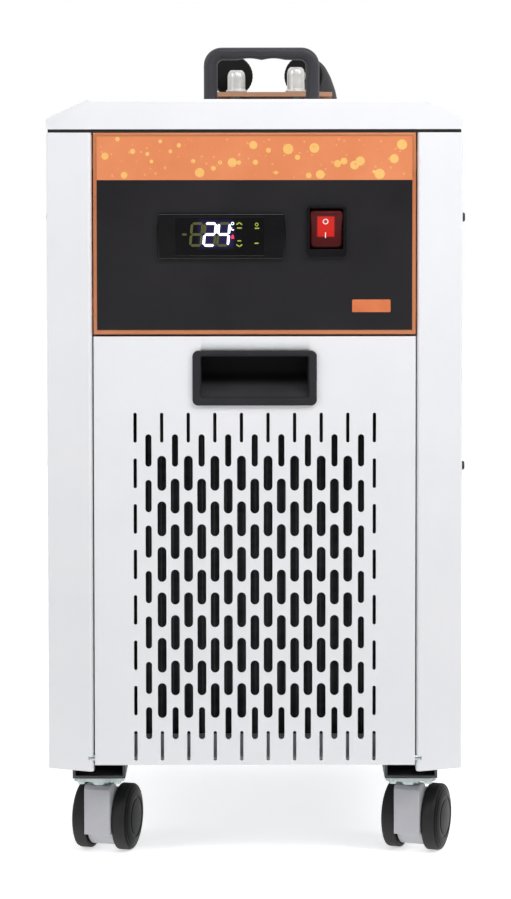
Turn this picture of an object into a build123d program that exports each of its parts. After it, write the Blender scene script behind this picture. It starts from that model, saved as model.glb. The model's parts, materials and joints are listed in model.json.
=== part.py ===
"""A recirculating chiller: a white sheet-metal tower on four twin-wheel castors.

Millimetres, +Z up, +X to the right of someone who stands before it; the front faces -Y.
The origin lies on the floor, in the middle of the chiller's bounding box.
The front door carries a slotted grille, and the condenser, fan, compressor and pump stand behind it.
A shelf above them holds the insulated reservoir and the electrics.
"""

from build123d import *
from math import cos, radians, sin
import os

os.makedirs("parts", exist_ok=True)

# Cabinet
SHEET = 1.5
HALF_W = 157.0
FRONT = -222.0
BACK = 205.0
REACH = 225.0
FACET_W = 35.0
FACET_D = 13.0
OPENING_HALF = HALF_W - FACET_W
BEND_R = 1.0

# Heights
RAIL_Z = 62.0
TRAY_Z = 72.0
PANEL_BOTTOM = 69.0
DOOR_BOTTOM = 74.0
DOOR_TOP = 399.0
FASCIA_BOTTOM = 400.5
PANEL_TOP = 552.0
LID_BOTTOM = 554.5
LID_EDGE = 562.5
LID_TOP = 577.0
SHELF_Z = 401.5

# Door and its grille: column and row pitch, and the slots' widths and lengths
DOOR_HALF = 121.0
DOOR_DEPTH = 16.0
COLUMN_PITCH = 10.0
ROW_PITCH = 34.5
COLUMNS = 19
EVEN_ROWS = 8
GRILLE_TOP = 330.3
WIDE, MEDIUM, NARROW = (6.6, 26.5), (4.6, 24.5), (2.5, 22.5)
HINGE_Y, HINGE_Z = FRONT + 3.5, DOOR_BOTTOM + 5.0
HINGE_PIN_R = 2.5
RUNNING_GAP = 0.05
PULL = (-46.7, 46.7, 347.1, 388.4)
PULL_CORE = (-42.0, 42.0, 350.0, 385.8)
PULL_BACK = FRONT + 19.5

# Castors
CASTOR_X = 118.5
CASTOR_FRONT_Y = FRONT + 27.0
CASTOR_BACK_Y = BACK - 45.0
WHEEL_R = 25.5
TRAIL = 18.5
HOOD_W = 20.4
WHEEL_INNER = 10.6
AXLE_R = 2.5
KINGPIN_R = 4.0
PLATE_HALF = 19.0
PLATE_T = 2.5
BOLT_AT = 13.5
HOOD_TOP = 54.0
CASTOR_TURNS = {"front_left": 15.0, "front_right": 19.5, "rear_left": 28.0, "rear_right": -34.0}

# Console
CONSOLE_HALF = 121.0
OVERLAY_Y = FRONT - 0.4
PRINT_T = 0.1
BEZEL_Y = -REACH
FIELD_TOP = 516.5
FIELD_BOTTOM = 404.0
BORDER = 2.8
CONTROLLER = (-73.2, 23.4, 456.9, 491.6)
WINDOW = (-58.9, 6.8, 460.2, 488.4)
DIGITS_Z = 467.4
SWITCH = (39.1, 68.7, 458.9, 496.8)
ROCKER_PIVOT = (FRONT + 3.0, 480.0)
ROCKER_R = 15.0
ROCKER_HALF_W = 12.3
ROCKER_TILT = 12.0

# Handle, connections and filler on the lid
HANDLE_X, HANDLE_Y = 5.6, FRONT + 120.0
HANDLE_W, HANDLE_TOP, HANDLE_BAR, HANDLE_DEPTH = 91.0, 618.7, 10.6, 22.0
BRACKET = (-41.6, 66.8, 98.0, 122.0)
BRACKET_TOP = 586.5
VALVE_Y = 110.0
VALVES = {"supply": (35.7, 608.0, 20.0), "return": (-15.7, 605.4, -9.0)}
STUB_R, PORT_R, PORT_DEPTH = 7.6, 4.28, 10.0
SHANK_END = 560.0
KNOB_R, KNOB_T, KNOB_REACH, KNOB_Z = 17.6, 12.0, 24.0, 600.6
STEM_R, BONNET_R = 3.0, 4.2
FILLER_X, FILLER_Y = 51.0, 166.0
NECK_R, NECK_BORE, NECK_LENGTH = 15.0, 12.5, 48.0
CAP_R, CAP_TOP = 22.6, 616.0

# Inside
CONDENSER_Y = (-196.0, -160.0)
CONDENSER_X = 108.0
CONDENSER_Z = (TRAY_Z + SHEET, 372.0)
FIN_PITCH = 4.5
SHROUD_Y = (CONDENSER_Y[1], CONDENSER_Y[1] + 34.0)
FAN_Y, FAN_Z, FAN_R = SHROUD_Y[1] - 17.0, 232.0, 92.0
COMPRESSOR = (-48.0, 68.0)
TANK = (-110.0, 100.0, -45.0, 188.0, 413.5, 535.0)
FOAM = 12.0

# Behind
INLET_CUT, INLET_CUT_Z = (92.0, 120.0), (100.0, 122.0)
DRAIN_X, DRAIN_Z, DRAIN_R, SPIGOT_R = -100.0, 112.0, 6.0, 5.0
VENTS = {"across": (-48.0, 48.0), "width": 84.0, "height": 7.0, "pitch": 17.0, "lowest": 150.0, "rows": 11}


def box(x0, x1, y0, y1, z0, z1):
    """A block between two corners."""
    return Pos((x0 + x1) / 2, (y0 + y1) / 2, (z0 + z1) / 2) * Box(x1 - x0, y1 - y0, z1 - z0)


def outline(points):
    return make_face(Polyline(*points, close=True))


def prism_z(points, z0, z1):
    """A plan outline pulled up from z0 to z1."""
    return extrude(Plane.XY.offset(z0) * outline(points), amount=z1 - z0)


def prism_y(points, y0, y1):
    """An outline in X and Z pulled back from y0 to y1."""
    return extrude(Plane.XZ.offset(-y1) * outline(points), amount=y1 - y0)


def prism_x(points, x0, x1):
    """An outline in Y and Z pulled across from x0 to x1."""
    return extrude(Plane.YZ.offset(x0) * outline(points), amount=x1 - x0)


def rod(radius, start, end):
    """A round bar between two points."""
    a, b = Vector(*start), Vector(*end)
    return extrude(Plane(origin=a, z_dir=b - a) * Circle(radius), amount=(b - a).length)


def turned(profile, z_dir=(0, 0, 1), at=(0, 0, 0), x_dir=None):
    """A shape turned about the local Z axis from (radius, height) points."""
    shape = revolve(Plane.XZ * outline(profile), axis=Axis.Z)
    return Plane(origin=at, z_dir=z_dir, x_dir=x_dir) * shape


def faceted(profile, sides, at=(0, 0, 0), z_dir=(0, 0, 1), x_dir=(1, 0, 0)):
    """A plain turned form for the hidden machinery, with flat sides; profile holds (radius, height) pairs."""
    base = Plane(origin=at, z_dir=z_dir, x_dir=x_dir)
    return loft([base.offset(h) * RegularPolygon(r, sides) for r, h in profile], ruled=True)


def folded(points, z0, z1, inner_left=True, thickness=SHEET):
    """A bent sheet, seen in plan: one line of corners, thickened to one side, with rounded bends."""
    side = 1 if inner_left else -1
    pts = [Vector(*p, 0) for p in points]
    runs = [(b - a).normalized() for a, b in zip(pts, pts[1:])]
    normals = [Vector(-r.Y, r.X, 0) * side * thickness for r in runs]
    second = [pts[0] + normals[0]]
    radii = []
    for i in range(1, len(pts) - 1):
        bisector = normals[i - 1] + normals[i]
        second.append(pts[i] + bisector * (2 * thickness**2 / bisector.dot(bisector)))
        left_turn = runs[i - 1].cross(runs[i]).Z > 0
        inside = left_turn == inner_left
        radii.append((BEND_R + SHEET, BEND_R) if inside else (BEND_R, BEND_R + SHEET))
    second.append(pts[-1] + normals[-1])
    near = FilletPolyline(*pts, radius=[r[0] for r in radii])
    far = FilletPolyline(*second, radius=[r[1] for r in radii])
    ends = [Line(pts[0], second[0]), Line(pts[-1], second[-1])]
    face = make_face(near.edges() + far.edges() + ends[0].edges() + ends[1].edges())
    return extrude(Plane.XY.offset(z0) * face, amount=z1 - z0)


def pipe(points, radius):
    """A hidden pipe along straight runs, with an eight-sided section."""
    path = Polyline(*points)
    start = Plane(origin=path @ 0, z_dir=path % 0)
    return sweep(start * RegularPolygon(radius, 8), path=path, transition=Transition.RIGHT)


def save(name, shape):
    export_step(shape, f"parts/{name}.step")


def mirrored(shape):
    return mirror(shape, about=Plane.YZ)


def group(shapes):
    """Like pieces that stay separate solids in one file."""
    return Compound(children=[s for shape in shapes for s in shape.solids()])


def plan(inset=0.0):
    """The cabinet's plan with its two angled front corners."""
    w, f, b = HALF_W - inset, FRONT + inset, BACK - inset
    corner = OPENING_HALF - inset * 0.2
    back_corner = FRONT + FACET_D + inset * 0.8
    return [(-w, back_corner), (-corner, f), (corner, f), (w, back_corner), (w, b), (-w, b)]


def side_panel():
    """The right side: back flange, wall, angled facet and the flange beside the door, in one sheet."""
    wall = folded(
        [
            (HALF_W - 18, BACK - SHEET),
            (HALF_W, BACK - SHEET),
            (HALF_W, FRONT + FACET_D),
            (OPENING_HALF, FRONT),
            (OPENING_HALF, FRONT + 18),
        ],
        PANEL_BOTTOM,
        PANEL_TOP,
        inner_left=False,
    )
    top = box(HALF_W - 16, HALF_W - SHEET, FRONT + 34, BACK - 2 * SHEET, PANEL_TOP - SHEET, PANEL_TOP)
    start, end = (OPENING_HALF - 2, HINGE_Y, HINGE_Z), (OPENING_HALF + 4, HINGE_Y, HINGE_Z)
    return wall + top - rod(HINGE_PIN_R + RUNNING_GAP, start, end)


def base_tray():
    """The floor sheet with its edges folded up all round."""
    outer = box(-HALF_W + SHEET, HALF_W - SHEET, FRONT + 19, BACK - 2 * SHEET, TRAY_Z, TRAY_Z + 22)
    half = HALF_W - 2 * SHEET
    hollow = box(-half, half, FRONT + 19 + SHEET, BACK - 3 * SHEET, TRAY_Z + SHEET, TRAY_Z + 30)
    return outer - hollow


def castor_rail(x):
    """An open channel that carries two castors under the tray."""
    wall = 2.0
    half = PLATE_HALF + 1
    y0, y1 = FRONT + 8.5, BACK - 8
    channel = box(x - half, x + half, y0, y1, RAIL_Z, TRAY_Z)
    return channel - box(x - half + wall, x + half - wall, y0 - 1, y1 + 1, RAIL_Z + wall, TRAY_Z + 1)


def rear_panel():
    """The back sheet, with a field of air slots behind the fan and cut-outs for the inlet and the drain."""
    sheet = box(-HALF_W + 1, HALF_W - 1, BACK - SHEET, BACK, TRAY_Z + 1, PANEL_TOP)
    half, height = VENTS["width"] / 2, VENTS["height"]
    for row in range(VENTS["rows"]):
        z = VENTS["lowest"] + row * VENTS["pitch"]
        for x in VENTS["across"]:
            sheet -= box(x - half, x + half, BACK - 3, BACK + 1, z, z + height)
    sheet -= box(*INLET_CUT, BACK - 3, BACK + 1, *INLET_CUT_Z)
    sheet -= rod(DRAIN_R, (DRAIN_X, BACK - 3, DRAIN_Z), (DRAIN_X, BACK + 1, DRAIN_Z))
    return sheet


def lid_solid(inset):
    """The lid's outer form, or with an inset the space under its sheet."""
    slope_x = OPENING_HALF + 2.5
    w, top, edge = HALF_W - inset, LID_TOP - inset, LID_EDGE - inset * 0.95
    low = LID_BOTTOM - (1 if inset else 0)
    section = [(-w, low), (-w, edge), (-slope_x, top), (slope_x, top), (w, edge), (w, low)]
    return prism_y(section, FRONT - 1, BACK + 1) & prism_z(plan(inset), low, LID_TOP)


def top_cover():
    outer = lid_solid(0)
    front_top = outer.edges().filter_by(Axis.X).sort_by(Axis.Z)[-2:].sort_by(Axis.Y)[0]
    cover = fillet(front_top, 2.5) - lid_solid(SHEET)
    cover -= Pos(FILLER_X, FILLER_Y, LID_TOP) * Cylinder(NECK_R, 20)
    for x, _, _ in VALVES.values():
        cover -= Pos(x, VALVE_Y, LID_TOP) * Cylinder(STEM_R + 2, 20)
    return cover


def lid_gasket():
    """A black rubber strip that the lid rests on."""
    return prism_z(plan(1.2), PANEL_TOP, LID_BOTTOM) - prism_z(plan(13.0), PANEL_TOP - 1, LID_BOTTOM + 1)


def fascia():
    """The console's painted tray: rounded front edges, folded sides and two cut-outs."""
    outer = box(-CONSOLE_HALF, CONSOLE_HALF, FRONT, FRONT + 16, FASCIA_BOTTOM, PANEL_TOP)
    outer = fillet(outer.faces().sort_by(Axis.Y)[0].edges(), 1.6)
    tray = outer - box(
        -CONSOLE_HALF + SHEET,
        CONSOLE_HALF - SHEET,
        FRONT + SHEET,
        FRONT + 17,
        FASCIA_BOTTOM + SHEET,
        PANEL_TOP - SHEET,
    )
    for z in (415.0, 524.0):
        tab = box(CONSOLE_HALF, OPENING_HALF, FRONT + 6, FRONT + 15, z, z + 14)
        tray += tab + mirrored(tab)
    return tray - console_cuts()


def console_cuts():
    """What the controller's housing and the switch's housing pass through."""
    return controller_core() + switch_core()


def controller_core():
    """The controller's housing behind its bezel."""
    x0, x1, z0, z1 = CONTROLLER
    return box(x0 + 3, x1 - 3, OVERLAY_Y, FRONT + 60, z0 + 2.8, z1 - 2.8)


def switch_core():
    """The switch's housing behind its frame."""
    x0, x1, z0, z1 = SWITCH
    return box(x0 + 1.2, x1 - 1.2, OVERLAY_Y, FRONT + 30, z0 + 1.4, z1 - 1.4)


def fascia_overlay():
    edge = CONSOLE_HALF - BORDER
    sheet = box(-edge, edge, OVERLAY_Y, FRONT, FIELD_BOTTOM, PANEL_TOP - BORDER)
    return sheet - console_cuts()


def band_print():
    edge = CONSOLE_HALF - BORDER
    return box(-edge, edge, OVERLAY_Y - PRINT_T, OVERLAY_Y, FIELD_TOP, PANEL_TOP - BORDER)


def band_dots():
    """Pale dots of three sizes, scattered along the band by a fixed rule."""
    low, high = FIELD_TOP + 4, PANEL_TOP - BORDER - 4
    sizes = (3.4, 1.6, 2.4, 1.3, 4.0, 1.9)
    count = 20
    dots = []
    for i in range(count):
        x = -112 + 224 * (i + 0.5) / count + 3 * sin(i * 2.4)
        z = low + (high - low) * ((i * 0.618) % 1)
        disc = Plane.XZ.offset(-OVERLAY_Y + PRINT_T) * Pos(x, z) * RegularPolygon(sizes[i % 6], 8)
        dots.append(extrude(disc, amount=PRINT_T))
    return group(dots)


def controller():
    """A panel controller: bezel with bowed ends, pocket for the window, housing behind."""
    x0, x1, z0, z1 = CONTROLLER
    bow = 1.6
    middle = (z0 + z1) / 2
    ends = [
        ThreePointArc((x0 + bow, z1), (x0, middle), (x0 + bow, z0)),
        Line((x0 + bow, z0), (x1 - bow, z0)),
        ThreePointArc((x1 - bow, z0), (x1, middle), (x1 - bow, z1)),
        Line((x1 - bow, z1), (x0 + bow, z1)),
    ]
    face = make_face([e for part in ends for e in part.edges()])
    bezel = extrude(Plane.XZ.offset(-OVERLAY_Y) * face, amount=OVERLAY_Y - BEZEL_Y)
    bezel = chamfer(bezel.faces().sort_by(Axis.Y)[0].edges(), 0.8)
    wx0, wx1, wz0, wz1 = WINDOW
    return bezel + controller_core() - box(wx0, wx1, BEZEL_Y - 1, BEZEL_Y + 1.1, wz0, wz1)


def controller_window():
    x0, x1, z0, z1 = WINDOW
    return box(x0, x1, BEZEL_Y + 0.1, BEZEL_Y + 1.1, z0, z1)


def segment_digit(x, z, lit, height=17.2, width=8.4, bar=1.8):
    """A seven-segment figure; lit names its bars by letter, from a at the top clockwise, g in the middle."""
    y0, y1 = BEZEL_Y, BEZEL_Y + 0.1
    half = height / 2
    bars = {
        "a": (x, x + width, z + height - bar, z + height),
        "b": (x + width - bar, x + width, z + half + 0.9, z + height - bar - 0.2),
        "c": (x + width - bar, x + width, z + bar + 0.2, z + half - 0.9),
        "d": (x, x + width, z, z + bar),
        "e": (x, x + bar, z + bar + 0.2, z + half - 0.9),
        "f": (x, x + bar, z + half + 0.9, z + height - bar - 0.2),
        "g": (x, x + width, z + half - bar / 2 + 0.1, z + half + bar / 2 - 0.1),
    }
    return [box(b[0], b[1], y0, y1, b[2], b[3]) for key, b in bars.items() if key in lit]


def display_digits():
    """The two lit figures in the window."""
    return group(segment_digit(-38.4, DIGITS_Z, "abged") + segment_digit(-27.6, DIGITS_Z, "fgbc"))


def switch_bezel():
    """The switch's frame and housing, open at the front for the rocker."""
    x0, x1, z0, z1 = SWITCH
    y_pivot, z_pivot = ROCKER_PIVOT
    rim = box(x0, x1, BEZEL_Y, OVERLAY_Y, z0, z1)
    rim = chamfer(rim.edges().filter_by(Axis.Y), 1.6)
    frame = rim + switch_core()
    x_mid = (x0 + x1) / 2
    well = box(
        x_mid - ROCKER_HALF_W - 0.3, x_mid + ROCKER_HALF_W + 0.3, BEZEL_Y - 1, y_pivot + 10,
        z_pivot - ROCKER_R - 0.35, z_pivot + ROCKER_R + 0.35,
    )
    pin = trunnions(x_mid, 1.3, 1.5 + RUNNING_GAP)
    return frame - well - pin


def trunnions(x_mid, length, radius):
    """The rocker's pin, which reaches into the switch's frame on both sides."""
    y, z = ROCKER_PIVOT
    reach = ROCKER_HALF_W + 0.3 + length
    return rod(radius, (x_mid - reach, y, z), (x_mid + reach, y, z))


def rocker():
    """A rocker with a dished face, its lower half pressed in."""
    x_mid = (SWITCH[0] + SWITCH[1]) / 2
    y, z = ROCKER_PIVOT
    face = [(-5.6, 20), (-5.2, 14), (-3.4, 0), (-5.2, -14), (-5.6, -20), (4.5, -20), (4.5, 20)]
    body = prism_x(face, -ROCKER_HALF_W, ROCKER_HALF_W)
    body &= Rotation(0, 90, 0) * Cylinder(ROCKER_R, 4 * ROCKER_HALF_W)
    body = Pos(x_mid, y, z) * (Rotation(ROCKER_TILT, 0, 0) * body)
    return body + trunnions(x_mid, 1.1, 1.5)


def slot_outline(x, z, size):
    """An upright slot; each round end has three straight facets."""
    width, length = size
    r, straight = width / 2, (length - width) / 2
    corners = [(0, r), (60, r), (120, r), (180, r)]
    top = [(x + rr * cos(radians(a)), z + straight + rr * sin(radians(a))) for a, rr in corners]
    bottom = [(2 * x - px, 2 * z - pz) for px, pz in top]
    return outline(top + bottom)


def slot_size(column, row, rows):
    edge_row = row in (0, rows - 1)
    edge_column = min(column, COLUMNS - 1 - column)
    if edge_column == 0 or (edge_row and column % 2 == 0):
        return NARROW
    if edge_column == 1 or edge_row:
        return MEDIUM
    return WIDE


def grille_slots():
    """Staggered columns: the even ones have one slot more than the odd ones."""
    slots = []
    for column in range(COLUMNS):
        odd = column % 2
        rows = EVEN_ROWS - odd
        x = (column - (COLUMNS - 1) / 2) * COLUMN_PITCH
        for row in range(rows):
            z = GRILLE_TOP - (row + odd / 2) * ROW_PITCH
            slots.append(slot_outline(x, z, slot_size(column, row, rows)))
    return slots


def door_panel():
    """The grille door: a folded tray with slots and a cut-out for the pull."""
    outer = box(-DOOR_HALF, DOOR_HALF, FRONT, FRONT + DOOR_DEPTH, DOOR_BOTTOM, DOOR_TOP)
    outer = fillet(outer.edges().filter_by(Axis.Y), 1.2)
    outer = chamfer(outer.faces().sort_by(Axis.Y)[0].edges(), 0.6)
    hollow = box(
        -DOOR_HALF + SHEET,
        DOOR_HALF - SHEET,
        FRONT + SHEET,
        FRONT + DOOR_DEPTH + 1,
        DOOR_BOTTOM + SHEET,
        DOOR_TOP - SHEET,
    )
    cuts = extrude(Plane.XZ.offset(-FRONT - SHEET - 1) * Sketch(children=grille_slots()), amount=SHEET + 2)
    x0, x1, z0, z1 = PULL_CORE
    return outer - hollow - cuts - box(x0, x1, FRONT - 1, FRONT + 3, z0, z1)


def door_pull():
    """A flush pull: a rounded rim, and a cup whose floor slopes up to a deep finger hold."""
    x0, x1, z0, z1 = PULL
    rim = box(x0, x1, -REACH, FRONT, z0, z1)
    rim = fillet(rim.edges().filter_by(Axis.Y), 4.0)
    rim = chamfer(rim.faces().sort_by(Axis.Y)[0].edges(), 0.9)
    cx0, cx1, cz0, cz1 = PULL_CORE
    cup = rim + box(cx0, cx1, FRONT, PULL_BACK, cz0, cz1)
    y0, deep = -REACH - 1, PULL_BACK - 2
    hold = [(y0, cz0 + 3.4), (y0, cz1 - 2.2), (deep, cz1 - 1.8), (deep, cz0 + 19)]
    return cup - prism_x(hold, cx0 + 1.8, cx1 - 1.8)


def hinge_pins():
    """Two studs welded to the door's side flanges near its bottom edge."""
    pin = rod(HINGE_PIN_R, (DOOR_HALF, HINGE_Y, HINGE_Z), (DOOR_HALF + 4.5, HINGE_Y, HINGE_Z))
    return group([pin, mirrored(pin)])


def top_handle():
    """A moulded bow handle with finger hollows under its bar."""
    half, bar = HANDLE_W / 2, HANDLE_BAR
    height = HANDLE_TOP - LID_TOP
    outer = box(-half, half, -HANDLE_DEPTH / 2, HANDLE_DEPTH / 2, 0, height)
    outer = fillet(outer.edges().filter_by(Axis.Y).sort_by(Axis.Z)[-2:], 14.0)
    inner = box(-half + bar, half - bar, -HANDLE_DEPTH, HANDLE_DEPTH, -1, height - bar + 1)
    inner = fillet(inner.edges().filter_by(Axis.Y).sort_by(Axis.Z)[-2:], 4.5)
    bow = fillet([e for e in outer.edges() if abs(e.center().Y) > 10 and e.center().Z > 1], 3.5) - inner
    for x in (-9.5, 9.5):
        hollow = Pos(x, 0, height - bar + 1 - 34) * Rotation(90, 0, 0) * Cylinder(35.2, 60)
        bow -= hollow
    return Pos(HANDLE_X, HANDLE_Y, LID_TOP) * bow


def connection_bracket():
    """A folded strip: a short lip at the front, a flat top, a back flange and a foot on the lid."""
    x0, x1, y0, y1 = BRACKET
    top, t = BRACKET_TOP, SHEET
    section = [
        (y0, top), (y1, top), (y1, LID_TOP), (y1 - 6.5, LID_TOP), (y1 - 6.5, LID_TOP + t),
        (y1 - t, LID_TOP + t), (y1 - t, top - t), (y0 + t, top - t), (y0 + t, top - 3.9), (y0, top - 3.9),
    ]
    plate = prism_x(section, x0, x1)
    for x, _, _ in VALVES.values():
        plate -= Pos(x, VALVE_Y, LID_TOP) * Cylinder(STEM_R + 2, 30)
    return plate


def knob_line(name):
    """The stem's direction and the knob's centre."""
    x, _, turn = VALVES[name]
    direction = Vector(sin(radians(turn)), cos(radians(turn)), 0)
    return direction, Vector(x, VALVE_Y, KNOB_Z) + direction * KNOB_REACH


def valve(name):
    """A plated angle valve: shank through the bracket, collar, domed port and a bonnet to the back."""
    x, top, _ = VALVES[name]
    direction, _ = knob_line(name)
    z0 = BRACKET_TOP
    profile = [
        (0, SHANK_END), (STEM_R + 2, SHANK_END), (STEM_R + 2, z0), (STUB_R + 0.8, z0), (STUB_R, z0 + 5.2),
        (STUB_R, top - 3.0), (PORT_R, top), (PORT_R, top - PORT_DEPTH), (0, top - PORT_DEPTH),
    ]
    stub = turned(profile, at=(x, VALVE_Y, 0))
    centre = Vector(x, VALVE_Y, KNOB_Z)
    bonnet = rod(BONNET_R, centre + direction * 6, centre + direction * 16)
    body = stub + bonnet
    return body - rod(STEM_R + RUNNING_GAP, centre + direction * (PORT_R + 4), centre + direction * 17)


def knob(name):
    """A round black hand knob with a bevelled rim, on its stem."""
    direction, centre = knob_line(name)
    start = -KNOB_T / 2
    profile = [
        (0, start), (KNOB_R - 1.2, start), (KNOB_R, start + 1.2), (KNOB_R, -start - 2.5), (KNOB_R - 3, -start),
        (0, -start),
    ]
    stem_length = KNOB_REACH - KNOB_T / 2 - PORT_R - 5
    disc = turned(profile) + Pos(0, 0, start - stem_length / 2) * Cylinder(STEM_R, stem_length)
    return Plane(origin=centre, z_dir=direction) * disc


def filler_neck():
    """A round tube from the reservoir's top through the lid."""
    tube = Cylinder(NECK_R, NECK_LENGTH, align=(Align.CENTER, Align.CENTER, Align.MIN))
    bore = Cylinder(NECK_BORE, 3 * NECK_LENGTH)
    return Pos(FILLER_X, FILLER_Y, TANK[5] + 2) * (tube - bore)


def filler_cap():
    """A tall domed cap that covers the neck and lifts off."""
    z0 = LID_TOP + 0.3
    dome = [
        (0, CAP_TOP), (6.0, CAP_TOP - 1.4), (11.0, CAP_TOP - 6.0), (16.0, CAP_TOP - 15.2),
        (20.4, CAP_TOP - 27.5), (CAP_R, z0),
    ]
    roof = TANK[5] + 2 + NECK_LENGTH + 0.4
    inside = [(NECK_R + 0.4, z0), (NECK_R + 0.4, roof), (0, roof)]
    return turned(dome + inside, at=(FILLER_X, FILLER_Y, 0))


def castor_spot(name):
    """Where a castor's swivel stands in plan."""
    x = -CASTOR_X if "left" in name else CASTOR_X
    return x, CASTOR_FRONT_Y if "front" in name else CASTOR_BACK_Y


def castor_plate():
    """The top plate, the race cup under it and the kingpin, riveted into one piece."""
    plate = box(-PLATE_HALF, PLATE_HALF, -PLATE_HALF, PLATE_HALF, RAIL_Z - PLATE_T, RAIL_Z)
    plate = chamfer(plate.edges().filter_by(Axis.Z), 4.0)
    z = RAIL_Z - PLATE_T
    low = HOOD_TOP + 0.3
    race = [(0, z), (8.6, z), (7.6, low), (KINGPIN_R, low), (KINGPIN_R, 45), (0, 45)]
    return plate + turned(race)


def castor_hood():
    """The piece between the wheels: an upright face before the swivel, a round fender behind, a fixed axle."""
    front, low = -9.0, 16.0
    block = [(front, low), (front, HOOD_TOP - 3), (front + 2, HOOD_TOP), (6, HOOD_TOP)]
    block += [(TRAIL, 40), (TRAIL, low)]
    body = prism_x(block, -HOOD_W / 2, HOOD_W / 2)
    body += Pos(0, TRAIL, WHEEL_R) * Rotation(0, 90, 0) * Cylinder(22.0, HOOD_W)
    reach = WHEEL_INNER + 8.8
    body += rod(AXLE_R, (-reach, TRAIL, WHEEL_R), (reach, TRAIL, WHEEL_R))
    return body - rod(KINGPIN_R + RUNNING_GAP, (0, 0, 44.7), (0, 0, 64.7))


def castor_wheel(side):
    """A wheel with a flat tread, a sloping shoulder and a closed hub face; side is -1 or 1."""
    r = WHEEL_R
    bore = AXLE_R + RUNNING_GAP
    profile = [
        (0, 9.0), (bore, 9.0), (bore, 0), (r, 0), (r, 8.6), (r - 1.6, 10.4), (15.8, 12.7), (0, 12.7),
    ]
    return turned(profile, z_dir=(side, 0, 0), at=(side * WHEEL_INNER, TRAIL, WHEEL_R), x_dir=(0, 1, 0))


def castor_bolt():
    """A pan-headed bolt under the castor plate."""
    z = RAIL_Z - PLATE_T
    return extrude(Plane.XY.offset(z) * RegularPolygon(3.6, 8), amount=-2.4, taper=18)


def condenser():
    """A block of upright fins between two end plates, with tube bends on both sides."""
    y0, y1 = CONDENSER_Y
    z0, z1 = CONDENSER_Z
    core = box(-CONDENSER_X, CONDENSER_X, y0 + 8, y1, z0 + 12, z1 - 4)
    count = int(2 * CONDENSER_X / FIN_PITCH) - 1
    fins = [
        box(x, x + 0.8, y0 + 1, y0 + 8, z0 + 12, z1 - 4)
        for x in [-CONDENSER_X + FIN_PITCH * (i + 1) for i in range(count)]
    ]
    body = core.fuse(*fins)
    plates = [
        box(-CONDENSER_X - SHEET, -CONDENSER_X, y0, y1, z0, z1),
        box(CONDENSER_X, CONDENSER_X + SHEET, y0, y1, z0, z1),
        box(-CONDENSER_X, CONDENSER_X, y0, y1, z1 - 4, z1 - 4 + SHEET),
        box(-CONDENSER_X, CONDENSER_X, y0, y1, z0 + 12 - SHEET, z0 + 12),
    ]
    return body.fuse(*plates)


def condenser_bends():
    """Copper hairpins on both end plates."""
    out = []
    x = CONDENSER_X + SHEET
    y = sum(CONDENSER_Y) / 2
    for i in range(6):
        z = CONDENSER_Z[0] + 32 + i * 44
        corners = [(x, y, z), (x + 7, y, z), (x + 7, y, z + 22), (x, y, z + 22)]
        bend = pipe(corners, 4.2)
        out += [bend, mirrored(bend)]
    return group(out)


def fan_shroud():
    """A plate behind the condenser with a round throat for the fan and a cross strut for its motor."""
    y0, y1 = SHROUD_Y
    half = CONDENSER_X
    z0, z1 = CONDENSER_Z[0] + 12, CONDENSER_Z[1] - 4
    shell = box(-half, half, y0, y1 - 14, z0, z1) - box(
        -half + SHEET, half - SHEET, y0 - 1, y1 - 14 - SHEET, z0 + SHEET, z1 - SHEET
    )
    ring = rod(FAN_R + 4 + SHEET, (0, y1 - 15.5, FAN_Z), (0, y1, FAN_Z))
    shell = shell + ring - rod(FAN_R + 4, (0, y0, FAN_Z), (0, y1 + 1, FAN_Z))
    strut = box(-9, 9, y1, y1 + 3, FAN_Z - FAN_R - 5.5, FAN_Z + FAN_R + 5.5)
    return shell + strut - rod(5.0, (0, y1 - 1, FAN_Z), (0, y1 + 4, FAN_Z))


def fan_motor():
    y = SHROUD_Y[1] + 3
    can = faceted([(30, 0), (34, 4), (34, 38), (28, 44)], 20, at=(0, y, FAN_Z), z_dir=(0, 1, 0))
    return can + rod(3.0, (0, y, FAN_Z), (0, FAN_Y - 4, FAN_Z))


def fan():
    """Five pitched blades round a hub."""
    hub = rod(18.0, (0, FAN_Y - 9, FAN_Z), (0, FAN_Y + 9, FAN_Z))
    sector = [(14, -13), (50, -25), (FAN_R - 4, -30), (FAN_R, -4), (FAN_R - 3, 22), (50, 18), (14, 9)]
    blades = []
    for i in range(5):
        blade = extrude(outline(sector), amount=1.4)
        blade = Rotation(26, 0, 0) * blade
        blades.append(Rotation(0, 0, 72 * i) * blade)
    wheel = Pos(0, FAN_Y, FAN_Z) * (Rotation(90, 0, 0) * blades[0].fuse(*blades[1:]))
    return hub + wheel - rod(3.0 + RUNNING_GAP, (0, FAN_Y - 5, FAN_Z), (0, FAN_Y + 20, FAN_Z))


def compressor():
    """A hermetic can with a welded seam band and three feet."""
    x, y = COMPRESSOR
    z = TRAY_Z + SHEET + 10
    profile = [
        (50, z), (68, z + 12), (72, z + 60), (75, z + 62), (75, z + 70), (72, z + 72),
        (70, z + 120), (58, z + 146), (30, z + 160),
    ]
    can = faceted(profile, 20, at=(x, y, 0))
    foot = box(x - 80, x + 80, y - 62, y + 62, z, z + 3)
    corner_cut = chamfer(foot.edges().filter_by(Axis.Z), 18)
    discharge = faceted([(4, 50), (4, 80)], 8, at=(x, y, z + 90), z_dir=(-1, 0, 0), x_dir=(0, 1, 0))
    suction = faceted([(5, 50), (5, 80)], 8, at=(x, y, z + 110), z_dir=(1, 0, 0), x_dir=(0, 1, 0))
    return can + corner_cut + discharge + suction


def compressor_feet():
    x, y = COMPRESSOR
    z = TRAY_Z + SHEET
    feet = [(x + dx, y + dy, z) for dx in (-62, 62) for dy in (-46, 46)]
    return group([faceted([(8, 0), (6.5, 5), (8, 10)], 8, at=foot) for foot in feet])


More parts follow.
